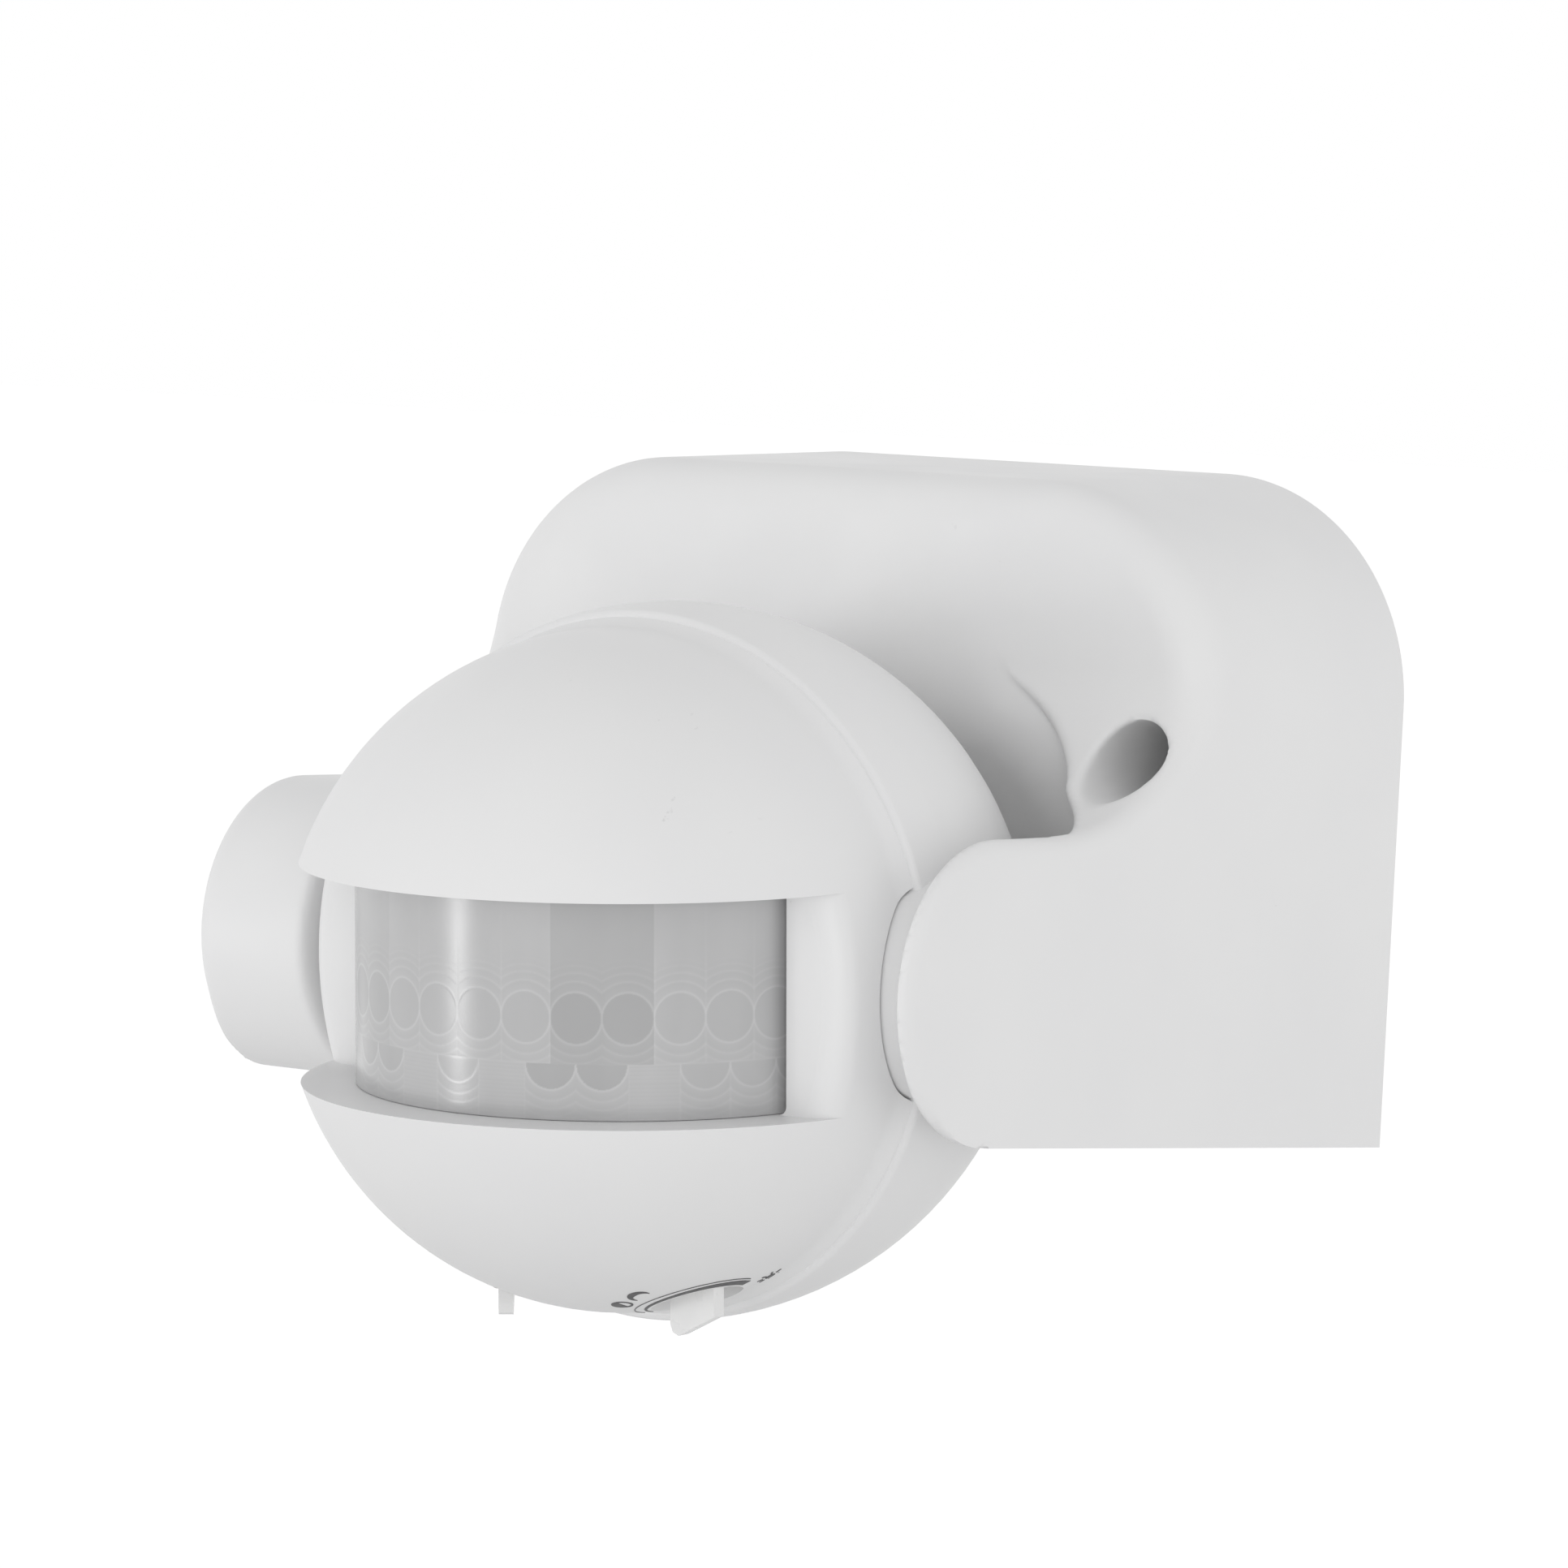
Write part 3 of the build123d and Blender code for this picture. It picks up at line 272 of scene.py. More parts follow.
# The rounding where the scoop's sides meet the front: it grows in the first range of heights
# and fades in the second
CREASE_LOW, CREASE_MORE, CREASE_LEAST = 0.8, 1.2, 0.03
CREASE_GROWS, CREASE_FADES = (16, 24), (24, BLEND_TOP + 2)
# Screw wells, with their tubes and the holes in their seats
WELL_X, WELL_Z, WELL_RADIUS, WELL_SEAT_Y = 40.2, 22.2, 4.2, -16.0
WELL_WALL, WELL_EDGE, TUBE_Y, TUBE_HALF = 1.6, 0.7, -24.25, 10.25
SCREW_HOLE_RADIUS, SCREW_HOLE_FRONT_Y = 1.7, -30
# Pivots: the hole for the bush in the left arm, and the pin on the right arm
BUSH_HOLE_RADIUS, BUSH_HOLE_HALF = 9.6, 4
PIN_RADIUS, PIN_BACK, PIN_HALF = 5.8, 1.35, 1.85
# The grid of the field, and the clean-up of its mesh
PITCH = 0.5
MERGE, DEGENERATE, SHARP_ANGLE = 0.03, 0.01, 52
OUTSIDE, TINY = 1e3, 1e-9


def rounded(a, b, radius):
    """Overlap of two fields, its edge rounded to a radius."""
    return np.minimum(np.maximum(a, b), -radius) + np.hypot(
        np.maximum(a + radius, 0), np.maximum(b + radius, 0)
    )


def ease(value, low, high):
    """0 below low, 1 above high, smooth between."""
    t = np.clip((value - low) / (high - low), 0, 1)
    return t * t * (3 - 2 * t)


def dish_field(x, y, z):
    """Negative in the space that the ball sits in, before its sides are cut flat."""
    r = np.hypot(x - HEAD_X, z)
    bowl = np.hypot(r, y - PIVOT_Y) - DISH_RADIUS
    upward = z / np.maximum(r, 1)
    bend = SIDE_FLARE + (TOP_FLARE - SIDE_FLARE) * ease(upward, *TOP_RANGE)
    shoulder = ease(upward, *SHOULDER_START) - ease(upward, *SHOULDER_END)
    bend = bend - SHOULDER_DROP * shoulder
    bend_y = FRONT_Y + bend
    bend_r = np.sqrt((DISH_RADIUS + bend) ** 2 - (bend_y - PIVOT_Y) ** 2)
    outer = r * (bend_y - PIVOT_Y) > (y - PIVOT_Y) * bend_r
    flare = bend - np.hypot(r - bend_r, y - bend_y)
    beyond = np.hypot(r - bend_r, np.maximum(y - FRONT_Y, 0))
    mouth = np.where(r < bend_r, flare, beyond)
    return np.minimum(bowl, np.where(outer, mouth, bowl))


def past_corners(x, z):
    """How far places are past the centre of an upper corner, sideways and upward."""
    return np.abs(x) - (BRACKET_WIDTH / 2 - CORNER), z - (BRACKET_TOP - CORNER)


def outline_field(x, z, inset):
    """Negative inside the bracket as seen from the front, its flat underside left out."""
    side_x, side_z = past_corners(x, z)
    outline = np.hypot(np.maximum(side_x, 0), np.maximum(side_z, 0))
    return outline + np.minimum(np.maximum(side_x, side_z), 0) - CORNER + inset


def profile_field(y, z):
    """Negative inside the bracket as seen from the side: arms, hollow curve and front face."""
    ahead = np.minimum(y - PIVOT_Y, 0)
    arms = np.hypot(ahead, np.where(y > PIVOT_Y, np.maximum(z, 0), z)) - ARM_RADIUS
    u = (y - FRONT_Y) / BLEND_DEPTH + 1
    v = (z - BLEND_TOP) / BLEND_HEIGHT
    far = np.hypot(u, v) + TINY
    hollow = (1 - far) * far / (np.hypot(u / BLEND_DEPTH, v / BLEND_HEIGHT) + TINY)
    in_hollow = (u > 0) & (v < 0)
    return np.where(in_hollow, hollow, np.minimum(arms, FRONT_Y - y))


def with_wells(solid, outside, x, y, z):
    """The field with the tubes of the screw wells, the wells and their screw holes."""
    r = np.hypot(np.abs(x) - WELL_X, z - WELL_Z)
    tube = np.maximum(r - WELL_RADIUS - WELL_WALL, np.abs(y - TUBE_Y) - TUBE_HALF)
    solid = np.minimum(solid, np.maximum(tube, outside))
    solid = rounded(solid, -np.maximum(r - WELL_RADIUS, y - WELL_SEAT_Y), WELL_EDGE)
    return np.maximum(solid, np.where(y < SCREW_HOLE_FRONT_Y, -OUTSIDE, SCREW_HOLE_RADIUS - r))


def with_pivots(solid, x, y, z):
    """The field with the bush's hole in the left arm and the pin on the right arm."""
    r = np.hypot(y - PIVOT_Y, z)
    bush_hole = np.maximum(r - BUSH_HOLE_RADIUS, np.abs(x - ARM_LEFT_X) - BUSH_HOLE_HALF)
    pin = np.maximum(r - PIN_RADIUS, np.abs(x - ARM_RIGHT_X + PIN_BACK) - PIN_HALF)
    return np.minimum(np.maximum(solid, -bush_hole), pin)


def bracket_field(x, y, z):
    """Negative inside the bracket housing, about the distance to its surface."""
    inset = -y * SLOPE
    outline = outline_field(x, z, inset)
    under = BRACKET_BOTTOM + inset - z
    edge = EDGE_SMALL + (EDGE_LARGE - EDGE_SMALL) * ease(z, ARM_RADIUS + 1, BLEND_TOP)
    edge = edge - (EDGE_SMALL - EDGE_SHARP) * (1 - ease(z, -ARM_RADIUS, SHARP_TOP))
    block = np.maximum(rounded(outline, profile_field(y, z), edge), under)
    dish = dish_field(x, y, z)
    sides = np.maximum(ARM_LEFT_X - x, x - ARM_RIGHT_X)
    space = np.maximum(np.minimum(dish, y - SPACE_FRONT_Y), sides)
    crease = CREASE_LOW + CREASE_MORE * ease(z, *CREASE_GROWS)
    crease = crease * (1 - ease(z, *CREASE_FADES)) + CREASE_LEAST
    outside = rounded(block, -space, crease)
    room = np.maximum(np.maximum(outline, under) + WALL, FRONT_Y + WALL - y)
    room = np.maximum(room, np.maximum(DISH_WALL - dish, outside + DISH_WALL))
    arm_room = np.hypot(np.minimum(y - PIVOT_Y, 0), z) - ARM_RADIUS + WALL
    ends = np.maximum(x - ARM_LEFT_X + WALL, ARM_ROOM_LEFT_X - x)
    solid = np.maximum(np.maximum(outside, -room), -np.maximum(arm_room, ends))
    solid = with_wells(solid, outside, x, y, z)
    return np.maximum(with_pivots(solid, x, y, z), y)


def flatten_walls(points, reach=0.5):
    """Moves points near the bracket's plain outer walls onto them, so their edges stay crisp."""
    x, y, z = points.T
    y[y > -reach] = 0
    inset = -y * SLOPE
    low = (np.abs(z - BRACKET_BOTTOM - inset) < reach) & (y > PIVOT_Y)
    z[:] = np.where(low, BRACKET_BOTTOM + inset, z)
    side_x, side_z = past_corners(x, z)
    out_x, out_z = np.maximum(side_x, 0), np.maximum(side_z, 0)
    far = np.hypot(out_x, out_z) + TINY
    # The side walls are plain well behind the front edges, and along the foot
    plain = (y > FRONT_Y + 12) | (z < BRACKET_BOTTOM + 4)
    near = plain & (np.abs(far - CORNER + inset) < reach)
    grow = np.where(near, (CORNER - inset) / far, 1)
    x[:] = np.sign(x) * (np.abs(x) + (grow - 1) * out_x)
    z[:] = z + (grow - 1) * out_z


def crossing_points(value, cells):
    """The mean place, in grid steps, where the edges of each cell cross the surface."""
    total = np.zeros((len(cells), 3))
    count = np.zeros(len(cells))
    units = np.eye(3, dtype=int)
    for axis in range(3):
        for i in (0, 1):
            for j in (0, 1):
                start = cells + i * units[(axis + 1) % 3] + j * units[(axis + 2) % 3]
                a = value[tuple(start.T)]
                b = value[tuple((start + units[axis]).T)]
                crossed = (a < 0) != (b < 0)
                part = np.where(crossed, a / np.where(crossed, a - b, 1), 0)
                total += crossed[:, None] * (start + part[:, None] * units[axis])
                count += crossed
    return total / count[:, None]


def drawn_to_surface(field, points, pitch, probe=0.02, least_slope=0.2):
    """Points moved along the field's slope to its surface, in four short steps."""
    for _ in range(4):
        here = field(*points.T)
        slope = np.stack([field(*(points + probe * e).T) - here for e in np.eye(3)], 1) / probe
        step = (here / np.maximum((slope**2).sum(1), least_slope))[:, None] * slope
        points -= np.clip(step, -pitch / 3, pitch / 3)
    return points


def mesh_of_field(field, low, high, pitch):
    """Points and four-sided faces of a field's surface: one point in each cell it crosses."""
    axes = [np.arange(a - 1.5 * pitch, b + 2.5 * pitch, pitch) for a, b in zip(low, high)]
    value = field(*np.meshgrid(*axes, indexing="ij", sparse=True))
    inside = value < 0
    ends = (slice(0, -1), slice(1, None))
    corner_sum = sum(inside[i, j, k].astype(np.int8) for i in ends for j in ends for k in ends)
    cells = np.argwhere((corner_sum > 0) & (corner_sum < 8))
    index = np.full(corner_sum.shape, -1)
    index[tuple(cells.T)] = np.arange(len(cells))
    points = crossing_points(value, cells) * pitch + np.array([a[0] for a in axes])
    points = drawn_to_surface(field, points, pitch)
    quads = []
    for axis in range(3):
        turned = (axis, (axis + 1) % 3, (axis + 2) % 3)
        lower = np.moveaxis(inside, turned, (0, 1, 2))
        starts = np.argwhere(lower[:-1, 1:-1, 1:-1] != lower[1:, 1:-1, 1:-1]) + [0, 1, 1]
        solid_below = lower[tuple(starts.T)]
        grid = np.moveaxis(index, turned, (0, 1, 2))
        ring = [
            grid[starts[:, 0], starts[:, 1] - 1 + i, starts[:, 2] - 1 + j]
            for i, j in ((0, 0), (1, 0), (1, 1), (0, 1))
        ]
        quad = np.stack(ring, 1)
        quads.append(np.where(solid_below[:, None], quad, quad[:, ::-1]))
    return points, np.concatenate(quads)


def clean(build):
    """Merges points that lie together and removes faces without area."""
    bmesh.ops.remove_doubles(build, verts=build.verts, dist=MERGE * MM)
    bmesh.ops.dissolve_degenerate(build, edges=build.edges, dist=DEGENERATE * MM)


half = BRACKET_WIDTH / 2
points, quads = mesh_of_field(
    bracket_field,
    (-half, PIVOT_Y - ARM_RADIUS, BRACKET_BOTTOM),
    (half, 0, BRACKET_TOP),
    PITCH,
)
flatten_walls(points)
plastic = finishes["housing_plastic"]
housing = new_piece(
    "bracket_shell", points * MM, quads.tolist(), plastic, "bracket"
)
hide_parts("bracket_housing")
edit_mesh(housing.data, clean)
housing.data.set_sharp_from_angle(angle=math.radians(SHARP_ANGLE))

# ----------------------------------------------------------------- the lens
LENS_RADIUS, LENS_Y, LENS_THICKNESS = 27.0, -8.2, 0.6
LENS_HALF_ANGLE = 78.0
BROW_Z, SILL_Z, LENS_GAP = 10.9, -11.2, 0.05
# The moulded face lies this far inside the CAD lens, and its relief fades over the last degrees
LENS_INSET, RELIEF_BASE, LENS_END = 0.09, 0.02, 3
LENS_SPACING = 0.1
# Cells of the moulded pattern: their width in degrees, the line between the rows, the height
# of the upper eyes over it, and the steps of r squared from ring to ring
CELL_ANGLE, ROW_Z, EYE_RISE, EYE_RADIUS, RING_STEP = 10.9, -5.6, 4.5, 2.48, 6.8
BLANK_CELLS = (1, 4)
# Cells that face the camera, painted darker as shade for the dark detector seen through them:
# whole numbers in the lower row, halves in the upper
AIMED_CELLS = (2, 2.5, 3, 3.5)
# Heights of the relief of eyes, rings, rims and borders, and widths of the fine lines
EYE_HEIGHT, RING_HEIGHT, RIM_HEIGHT, BORDER_DEPTH = 0.012, 0.006, 0.004, 0.006
RIM_OFFSET, RIM_WIDTH, BORDER_WIDTH, GROOVE_WIDTH, STRIPE_STEP = 0.12, 0.11, 0.10, 0.13, 0.42
GROOVES = 5
# How strong rings in blank cells, borders near the top, and the painted shade of aimed cells on
# the other side are
BLANK_RING, BORDER_LOSS, MIRROR_AIMED = 0.4, 0.7, 0.4
# What is taken from or added to a tone of 1. The aimed, eye and top amounts are painted shade,
# and the upper amount is painted light
AIMED_CELL_SHADE, EYE_SHADE, AIMED_EYE_SHADE_UPPER, AIMED_EYE_SHADE_LOWER = 0.13, 0.045, 0.04, 0.12
RIM_TONE, BORDER_TONE, GROOVE_TONE, RING_TONE = 0.12, 0.05, 0.075, 0.05
BLANK_TONE, STRIPE_TONE, TOP_SHADE_AMOUNT, UPPER_LIGHT_AMOUNT, FOOT_TONE = 0.03, 0.04, 0.05, 0.04, 0.05
# Where each sets in: distances from an eye's centre, then heights, then depths below 0
RING_FADE, BORDER_FADE, TOP_SHADE, UPPER_GLOW = (3.3, 6.6), (3.0, 7.0), (9.6, 10.2), (2, 8)
FOOT_SHADE = (9.6, 10.4)


def line(distance, width):
    """1 on a line, fading to 0 over a width."""
    return np.exp(-((distance / width) ** 2))


def lens_cells(angle, z):
    """Depth of the lens's moulded relief, and its tone with painted shade and painted light, at
    an angle and a height.
    """
    upper = z > ROW_Z
    in_cells = angle / CELL_ANGLE
    middle = np.where(upper, np.floor(in_cells) + 0.5, np.round(in_cells))
    across = np.radians(angle - middle * CELL_ANGLE) * LENS_RADIUS
    r = np.hypot(across, z - np.where(upper, ROW_Z + EYE_RISE, ROW_Z))
    blank = ~upper & np.isin(np.abs(middle), BLANK_CELLS)
    eye = (r < EYE_RADIUS) & ~blank
    zone = np.maximum(r * r - EYE_RADIUS**2, 0) / RING_STEP
    fade = 1 - ease(r, *RING_FADE)
    ring = np.where(blank, np.mod(z / STRIPE_STEP, 1), np.mod(zone, 1))
    eye_height = EYE_HEIGHT * (1 - (r / EYE_RADIUS) ** 2)
    ring_height = RING_HEIGHT * (1 - ring) * np.where(blank, BLANK_RING, fade)
    rim = line(r - EYE_RADIUS - RIM_OFFSET, RIM_WIDTH) * ~blank
    half_width = np.radians(CELL_ANGLE / 2) * LENS_RADIUS
    border = np.maximum(
        line(half_width - np.abs(across), BORDER_WIDTH), line(z - ROW_Z, BORDER_WIDTH)
    )
    border = border * (1 - BORDER_LOSS * ease(z, *BORDER_FADE))
    height = np.where(eye, eye_height, ring_height) + RIM_HEIGHT * rim - BORDER_DEPTH * border
    radii = [math.sqrt(EYE_RADIUS**2 + RING_STEP * n) for n in range(1, GROOVES + 1)]
    grooves = sum(line(r - radius, GROOVE_WIDTH) for radius in radii)
    # Tone: painted shade darkens the aimed cells and the eyes, for the dark inside seen through
    # them; rims, borders and grooves are lighter;
    # painted shade darkens the strip along its top under the brow, painted light lightens its
    # upper part, and the strip is a little darker along its foot
    aimed = np.isin(middle, AIMED_CELLS) + MIRROR_AIMED * np.isin(-middle, AIMED_CELLS)
    aimed_eye_shade = np.where(upper, AIMED_EYE_SHADE_UPPER, AIMED_EYE_SHADE_LOWER)
    tone = 1 - AIMED_CELL_SHADE * aimed * upper - eye * (EYE_SHADE + aimed * aimed_eye_shade)
    tone = tone + RIM_TONE * rim + BORDER_TONE * border * (1 - aimed)
    tone = tone + (GROOVE_TONE * grooves - RING_TONE * ring**2 * ~eye) * fade * ~blank
    tone = tone + blank * (BLANK_TONE - STRIPE_TONE * (1 - ring))
    tone = tone * (1 - TOP_SHADE_AMOUNT * ease(z, *TOP_SHADE)) * (1 + UPPER_LIGHT_AMOUNT * ease(z, *UPPER_GLOW))
    return height, tone * (1 - FOOT_TONE * ease(-z, *FOOT_SHADE))


def on_band(radius, turn, z):
    """Points of a band round the lens's axis, in the head's millimetres."""
    return np.stack([radius * np.sin(turn), LENS_Y - radius * np.cos(turn), z + 0 * turn], -1)


def lens_mesh():
    """The lens strip's points, its faces, and the tone of its outer points with painted shade and
    painted light, which come first.
    """
    columns = int(2 * math.radians(LENS_HALF_ANGLE) * LENS_RADIUS / LENS_SPACING)
    rows = int((BROW_Z - SILL_Z - 2 * LENS_GAP) / LENS_SPACING)
    foot, top = SILL_Z + LENS_GAP, BROW_Z - LENS_GAP
    angle = np.linspace(-LENS_HALF_ANGLE, LENS_HALF_ANGLE, columns + 1)[:, None]
    z = np.linspace(foot, top, rows + 1)[None, :]
    relief, tone = lens_cells(angle, z)
    ends = ease(LENS_HALF_ANGLE - np.abs(angle), 0, LENS_END)
    outer = LENS_RADIUS - LENS_INSET + (relief - RELIEF_BASE) * ends
    turn = np.radians(angle + 0 * z)
    inner = LENS_RADIUS - LENS_THICKNESS
    skin = on_band(outer, turn, z)
    back = np.stack([on_band(inner, turn[:, 0], height) for height in (foot, top)], 1)
    front = np.arange((columns + 1) * (rows + 1)).reshape(columns + 1, rows + 1)
    rear = np.arange((columns + 1) * 2).reshape(columns + 1, 2) + front.size
    faces = np.stack([front[:-1, :-1], front[1:, :-1], front[1:, 1:], front[:-1, 1:]], -1)
    faces = faces.reshape(-1, 4).tolist()
    for c in range(columns):
        faces.append([rear[c, 0], rear[c, 1], rear[c + 1, 1], rear[c + 1, 0]])
        faces.append([front[c, 0], rear[c, 0], rear[c + 1, 0], front[c + 1, 0]])
        faces.append([front[c + 1, rows], rear[c + 1, 1], rear[c, 1], front[c, rows]])
    faces.append([*front[0, :].tolist(), rear[0, 1], rear[0, 0]])
    faces.append([*front[columns, ::-1].tolist(), rear[columns, 0], rear[columns, 1]])
    return np.concatenate([skin.reshape(-1, 3), back.reshape(-1, 3)]), faces, tone.reshape(-1)


def lens_material():
    """Milky plastic; its colour follows the tone that the mesh carries, which holds painted shade
    and painted light.
    """
    material = new_material("lens_plastic")
    tone = add_node(material, "ShaderNodeAttribute", attribute_name="tone").outputs["Fac"]
    cloud = spread(material, noise(material, 90, 3.0), 0.776, 0.824)
    streak = spread(material, noise(material, 70, 1.0, (4, 4, 0.3)), 0.98, 1.02)
    factor = times(material, tone, times(material, cloud, streak))
    feed(material, "Base Color", blend(material, factor, grey(0.0), (0.59, 0.59, 0.595)))
    feed(material, "Roughness", spread(material, noise(material, 60, 2.0), 0.20, 0.26))
    shader_inputs(material)["Specular IOR Level"].default_value = 0.9
    return material


lens_finish = lens_material()
lens_points, lens_faces, lens_tone_and_shade = lens_mesh()
lens = new_piece(
    "lens", in_head(lens_points), lens_faces, lens_finish, "sensor_head"
)
# The tone attribute carries the lens pattern together with its painted shade and painted light
values = np.ones(len(lens_points))
values[: lens_tone_and_shade.size] = lens_tone_and_shade
lens.data.attributes.new("tone", "FLOAT", "POINT").data.foreach_set("value", values)
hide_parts("fresnel_lens")
dress(nodes["fresnel_lens"], lens_finish)

# ------------------------------------------------------------ printed marks
DOME_RADIUS, DOME_Y = 34.4, -8.0
KNOB_X, KNOB_Y = 12.0, -12.0
# The two faces of the ink, from the dome's surface, and the inner radius of a filled disc
INK_LIFTS = (0.05, -0.05)
DOT = 0.01
ink = surface(
    "printed_ink", (0.075, 0.075, 0.08), grey(0.12), 600, (0.45, 0.55), (2500, 0.003)
)


def on_dome(x, y, lift):
    """A point of the dome's underside in the head's millimetres, lifted off it."""
    z = -math.sqrt((DOME_RADIUS + lift) ** 2 - x * x - (y - DOME_Y) ** 2)
    return x, y, z


def printed(name, strips):
    """Ink on the dome. Each strip is a pair of rows of (x, y) places, its two edges."""
    points, faces = [], []
    for side_a, side_b in strips:
        first = len(points)
        for (ax, ay), (bx, by) in zip(side_a, side_b):
            for lift in INK_LIFTS:
                points += [on_dome(ax, ay, lift), on_dome(bx, by, lift)]
        for i in range(len(side_a) - 1):
            p, q = first + 4 * i, first + 4 * i + 4
            faces += [[p, p + 1, q + 1, q], [p + 2, q + 2, q + 3, p + 3]]
            faces += [[p, q, q + 2, p + 2], [p + 1, p + 3, q + 3, q + 1]]
        last = first + 4 * (len(side_a) - 1)
        faces += [[first, first + 2, first + 3, first + 1], [last, last + 1, last + 3, last + 2]]
    mesh = bpy.data.meshes.new(name)
    mesh.from_pydata([tuple(v) for v in in_head(points)], [], faces)
    edit_mesh(mesh, lambda build: bmesh.ops.recalc_face_normals(build, faces=build.faces))
    mesh.materials.append(ink)
    piece = linked(name, mesh)
    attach(piece, "sensor_head")


def polar(cx, cy, r, angle):
    """The place at a distance from a centre, at an angle in degrees."""
    a = math.radians(angle)
    return cx + r * math.cos(a), cy + r * math.sin(a)


def arc(cx, cy, start, stop, inner, outer, steps=40):
    """A strip round a centre; inner and outer are radii at its start and its stop."""
    edges = ([], [])
    for i in range(steps + 1):
        t = i / steps
        for edge, (r0, r1) in zip(edges, (inner, outer)):
            edge.append(polar(cx, cy, r0 + (r1 - r0) * t, start + (stop - start) * t))
    return edges


def bar(x0, y0, x1, y1, width):
    """A straight strip."""
    dx, dy = x1 - x0, y1 - y0
    long = math.hypot(dx, dy)
    nx, ny = -dy / long * width / 2, dx / long * width / 2
    return [(x0 + nx, y0 + ny), (x1 + nx, y1 + ny)], [(x0 - nx, y0 - ny), (x1 - nx, y1 - ny)]


def sun(cx, cy, size):
    """A dot with eight rays."""
    strips = [arc(cx, cy, 0, 360, (DOT, DOT), (size * 0.38, size * 0.38))]
    for k in range(8):
        tip = polar(cx, cy, size, 45 * k)
        strips.append(bar(*polar(cx, cy, 0.58 * size, 45 * k), *tip, size * 0.16))
    return strips


def moon(cx, cy, size, heading, steps=30):
    """A crescent, its back to a heading."""
    outer, inner = [], []
    for i in range(steps + 1):
        angle = heading - 115 + 230 * i / steps
        bow = 1 - 0.62 * math.cos(math.radians(-90 + 180 * i / steps))
        outer.append(polar(cx, cy, size, angle))
        inner.append(polar(cx, cy, size * bow, angle))
    return [(outer, inner)]


def around(sign, heading, r):
    """A place at a heading and a distance from a knob's axis."""
    return polar(sign * KNOB_X, KNOB_Y, r, heading)


# Scales: a wedge that widens round the knob, and a thin line outside it
for sign, label in ((1, "lux"), (-1, "time")):
    knob = (sign * KNOB_X, KNOB_Y)
    printed(f"{label}_scale_wedge", [arc(*knob, -172, 12, (4.95, 4.95), (5.1, 5.85))])
    printed(f"{label}_scale_line", [arc(*knob, -176, 6, (6.15, 6.15), (6.23, 6.23))])
# A disc, filled on its left and only an outline on its right
disc = around(1, -121, 8.0)
left_half = arc(*disc, 90, 270, (DOT, DOT), (1.1, 1.1))
right_half = arc(*disc, -90, 90, (0.88, 0.88), (1.1, 1.1))
printed("lux_half_mark", [left_half, right_half])
printed("lux_night_mark", moon(*around(1, -98, 8.1), 1.2, 250))
printed("lux_day_mark", sun(*around(1, 33, 7.3), 1.3))
# Ticks that grow along the scale
time_marks = []
for step in range(4):
    heading = -150 + 30 * step
    outer_end = around(-1, heading, 7.3 + 0.4 * step)
    time_marks.append(bar(*around(-1, heading, 6.8), *outer_end, 0.34))
printed("time_ticks", time_marks)

# -------------------------------------------------------------- camera, light
# Places and sizes below are in metres, angles in degrees
CAMERA_AZIMUTH, CAMERA_ELEVATION, CAMERA_ROLL = 35.95, 2.88, 2.93
CAMERA_PLACE = (0.5114, -0.7481, 0.0610)
FOCAL_LENGTH, SENSOR_WIDTH = 193.2, 36
NEAREST, FURTHEST = 0.05, 60
FLOOR_Z, FLOOR_HALF = -0.25, 30
# The floor's painted shade under the object as a grey, the distances over which it turns white,
# and its glow there
FLOOR_SHADE_GREY, FLOOR_SHADE_FADE, FLOOR_GLOW = 0.74, (0.2, 0.9), 0.3
# The world's strength away from the backdrop and overhead, and where the change to it lies, as
# cosines of the angle to the backdrop's direction and to straight up
AWAY_STRENGTH, AWAY_RANGE = 0.84, (0.6, 0.95)
OVERHEAD_STRENGTH, OVERHEAD_RANGE = 0.85, (0.3, 0.8)
LIGHTS_AIM = (0, -0.06, 0.01)


def toward(azimuth, elevation):
    """The direction from the object to a viewer at an azimuth and an elevation."""
    a, e = math.radians(azimuth), math.radians(elevation)
    return Vector((math.sin(a) * math.cos(e), -math.cos(a) * math.cos(e), math.sin(e)))


back = toward(CAMERA_AZIMUTH, CAMERA_ELEVATION)
level = math.radians(CAMERA_AZIMUTH)
right = Vector((math.cos(level), math.sin(level), 0))
up = back.cross(right)
roll = math.radians(CAMERA_ROLL)
camera_x = math.cos(roll) * right + math.sin(roll) * up
camera_y = -math.sin(roll) * right + math.cos(roll) * up
camera_data = bpy.data.cameras.new("camera")
camera_data.sensor_width = SENSOR_WIDTH
camera_data.lens = FOCAL_LENGTH
camera_data.clip_start = NEAREST
camera_data.clip_end = FURTHEST
camera = linked("camera", camera_data)
camera.matrix_world = Matrix.Translation(CAMERA_PLACE) @ Matrix(
    (camera_x, camera_y, back)
).transposed().to_4x4()
bpy.context.scene.camera = camera
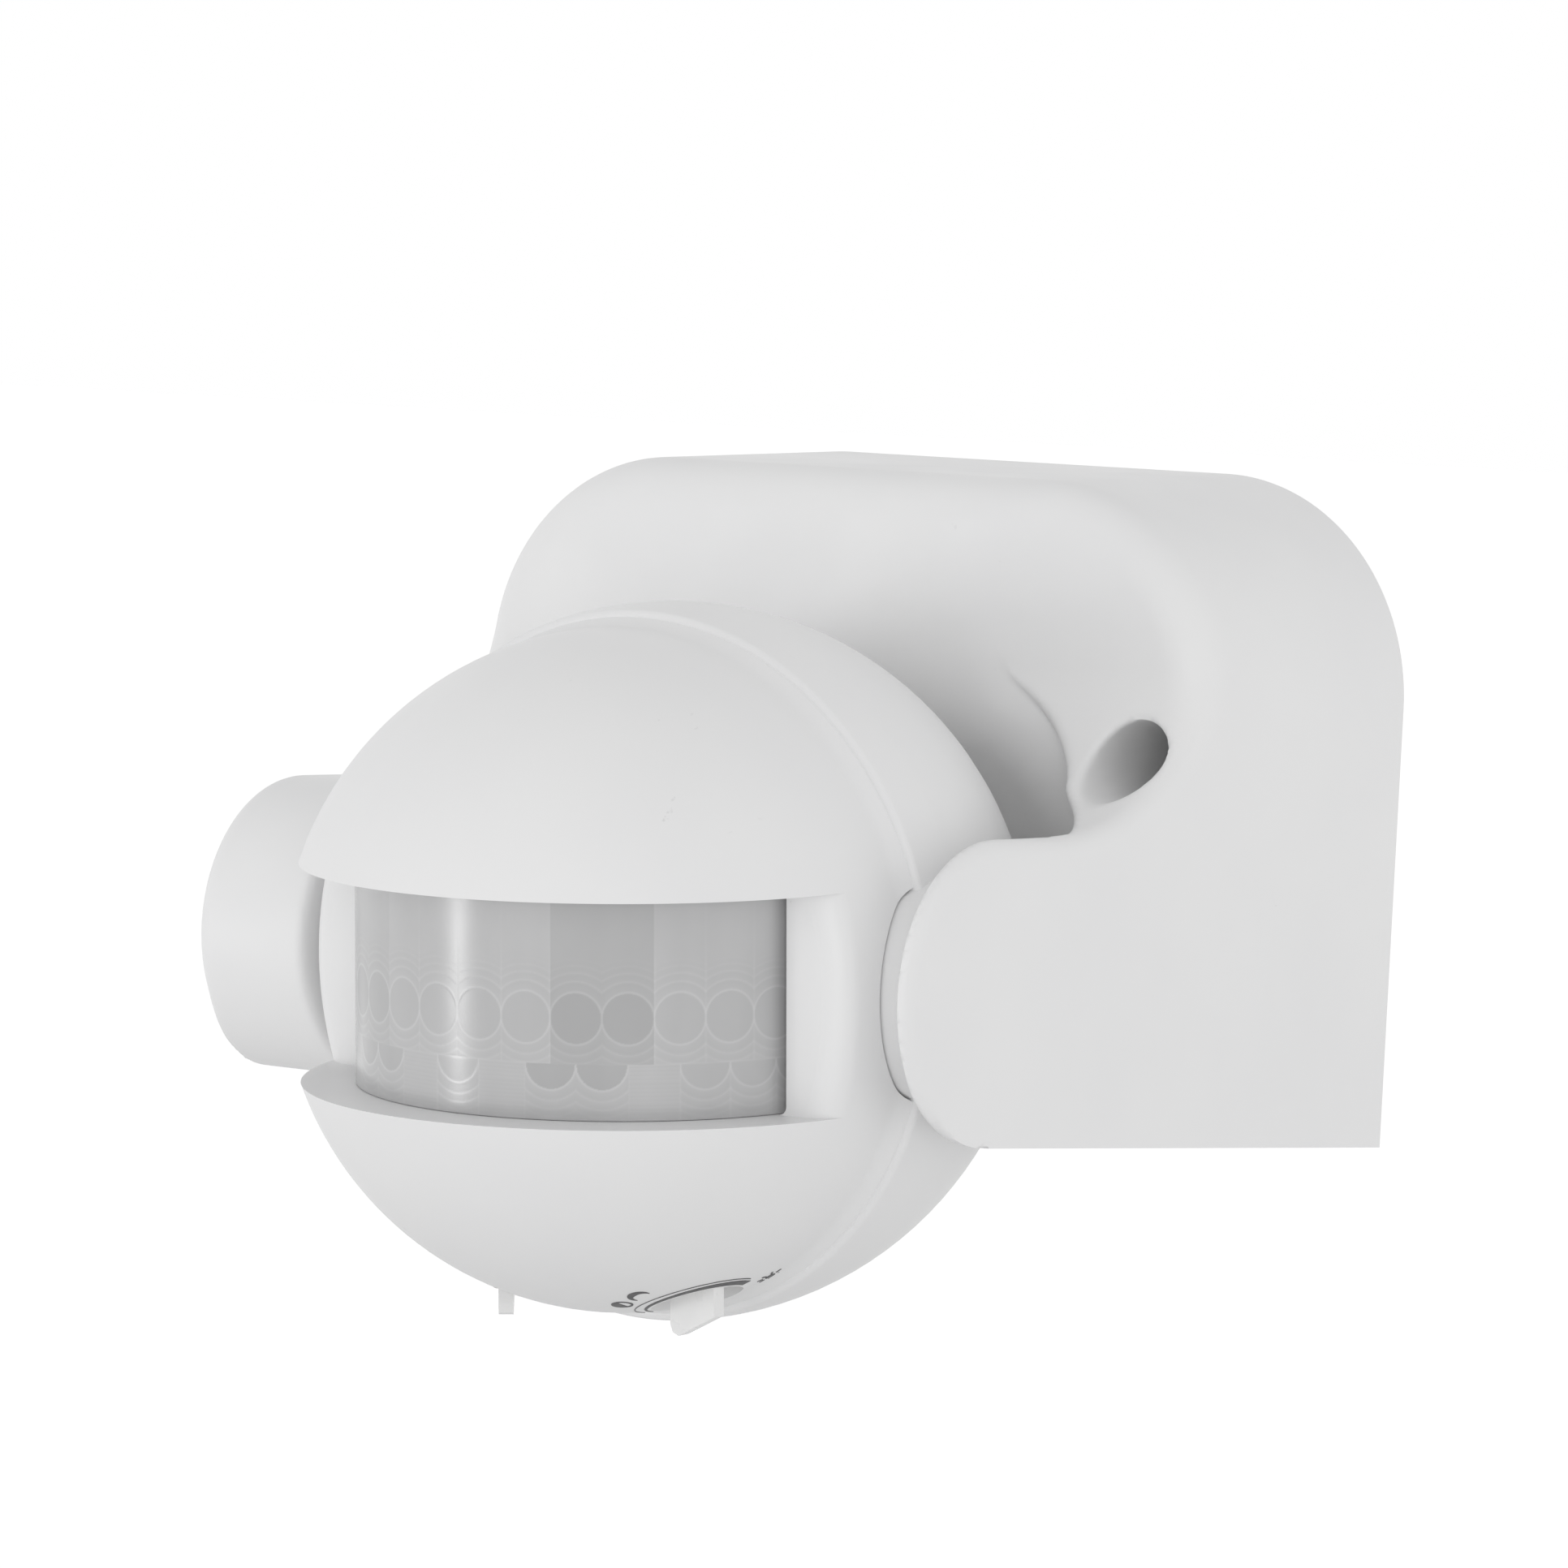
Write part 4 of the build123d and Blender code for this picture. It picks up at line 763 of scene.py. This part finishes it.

# Floor: white, with painted shade that darkens it near the object, and lit by itself further out
floor_mesh = bpy.data.meshes.new("floor")
edit_mesh(
    floor_mesh,
    lambda build: bmesh.ops.create_grid(build, x_segments=4, y_segments=4, size=FLOOR_HALF),
)
floor = linked("floor", floor_mesh)
floor.location = (0, 0, FLOOR_Z)
white = surface("floor_white", grey(0.96), grey(0.98), 2, (0.8, 0.9), (300, 0.01))
spot = add_node(white, "ShaderNodeTexCoord").outputs["Object"]
distance = add_node(white, "ShaderNodeVectorMath", {0: spot}, operation="LENGTH")
far_out = ramp(white, distance.outputs["Value"], *FLOOR_SHADE_FADE, 0, 1)
clear = shader_inputs(white)["Base Color"].links[0].from_socket
# Painted shade: the floor is grey under the object and turns white further out
feed(white, "Base Color", blend(white, far_out, grey(FLOOR_SHADE_GREY), clear))
feed(white, "Emission Strength", times(white, far_out, FLOOR_GLOW))
shader_inputs(white)["Emission Color"].default_value = (1, 1, 1, 1)
floor_mesh.materials.append(white)

# World: brightest behind the object as the camera sees it, dimmer elsewhere and overhead
world = bpy.data.worlds.new("studio")
world.use_nodes = True
direction = add_node(world, "ShaderNodeTexCoord").outputs["Generated"]
upward = add_node(world, "ShaderNodeSeparateXYZ", {"Vector": direction}).outputs["Z"]
ahead = add_node(world, "ShaderNodeVectorMath", {0: direction, 1: -back}, operation="DOT_PRODUCT")
wall = ramp(world, ahead.outputs["Value"], *AWAY_RANGE, AWAY_STRENGTH, 1.0)
sky = ramp(world, upward, *OVERHEAD_RANGE, 1.0, OVERHEAD_STRENGTH)
backdrop = world.node_tree.nodes["Background"]
world.node_tree.links.new(times(world, wall, sky), backdrop.inputs["Strength"])
backdrop.inputs["Color"].default_value = (1, 1, 1, 1)
bpy.context.scene.world = world
bpy.context.scene.view_settings.view_transform = "Standard"


def soft_light(name, azimuth, elevation, distance, size, radiance):
    """A rectangular studio light of a given brightness that faces the object."""
    away = toward(azimuth, elevation)
    data = bpy.data.lights.new(name, "AREA")
    data.shape = "RECTANGLE"
    data.size, data.size_y = size
    data.energy = radiance * math.pi * size[0] * size[1]
    light = linked(name, data)
    light.location = Vector(LIGHTS_AIM) + away * distance
    light.rotation_mode = "QUATERNION"
    light.rotation_quaternion = away.to_track_quat("Z", "Y")


soft_light("strip", -36, -6, 1.0, (0.11, 0.26), 8.0)
soft_light("front", 38, 6, 1.4, (0.5, 0.4), 2.2)
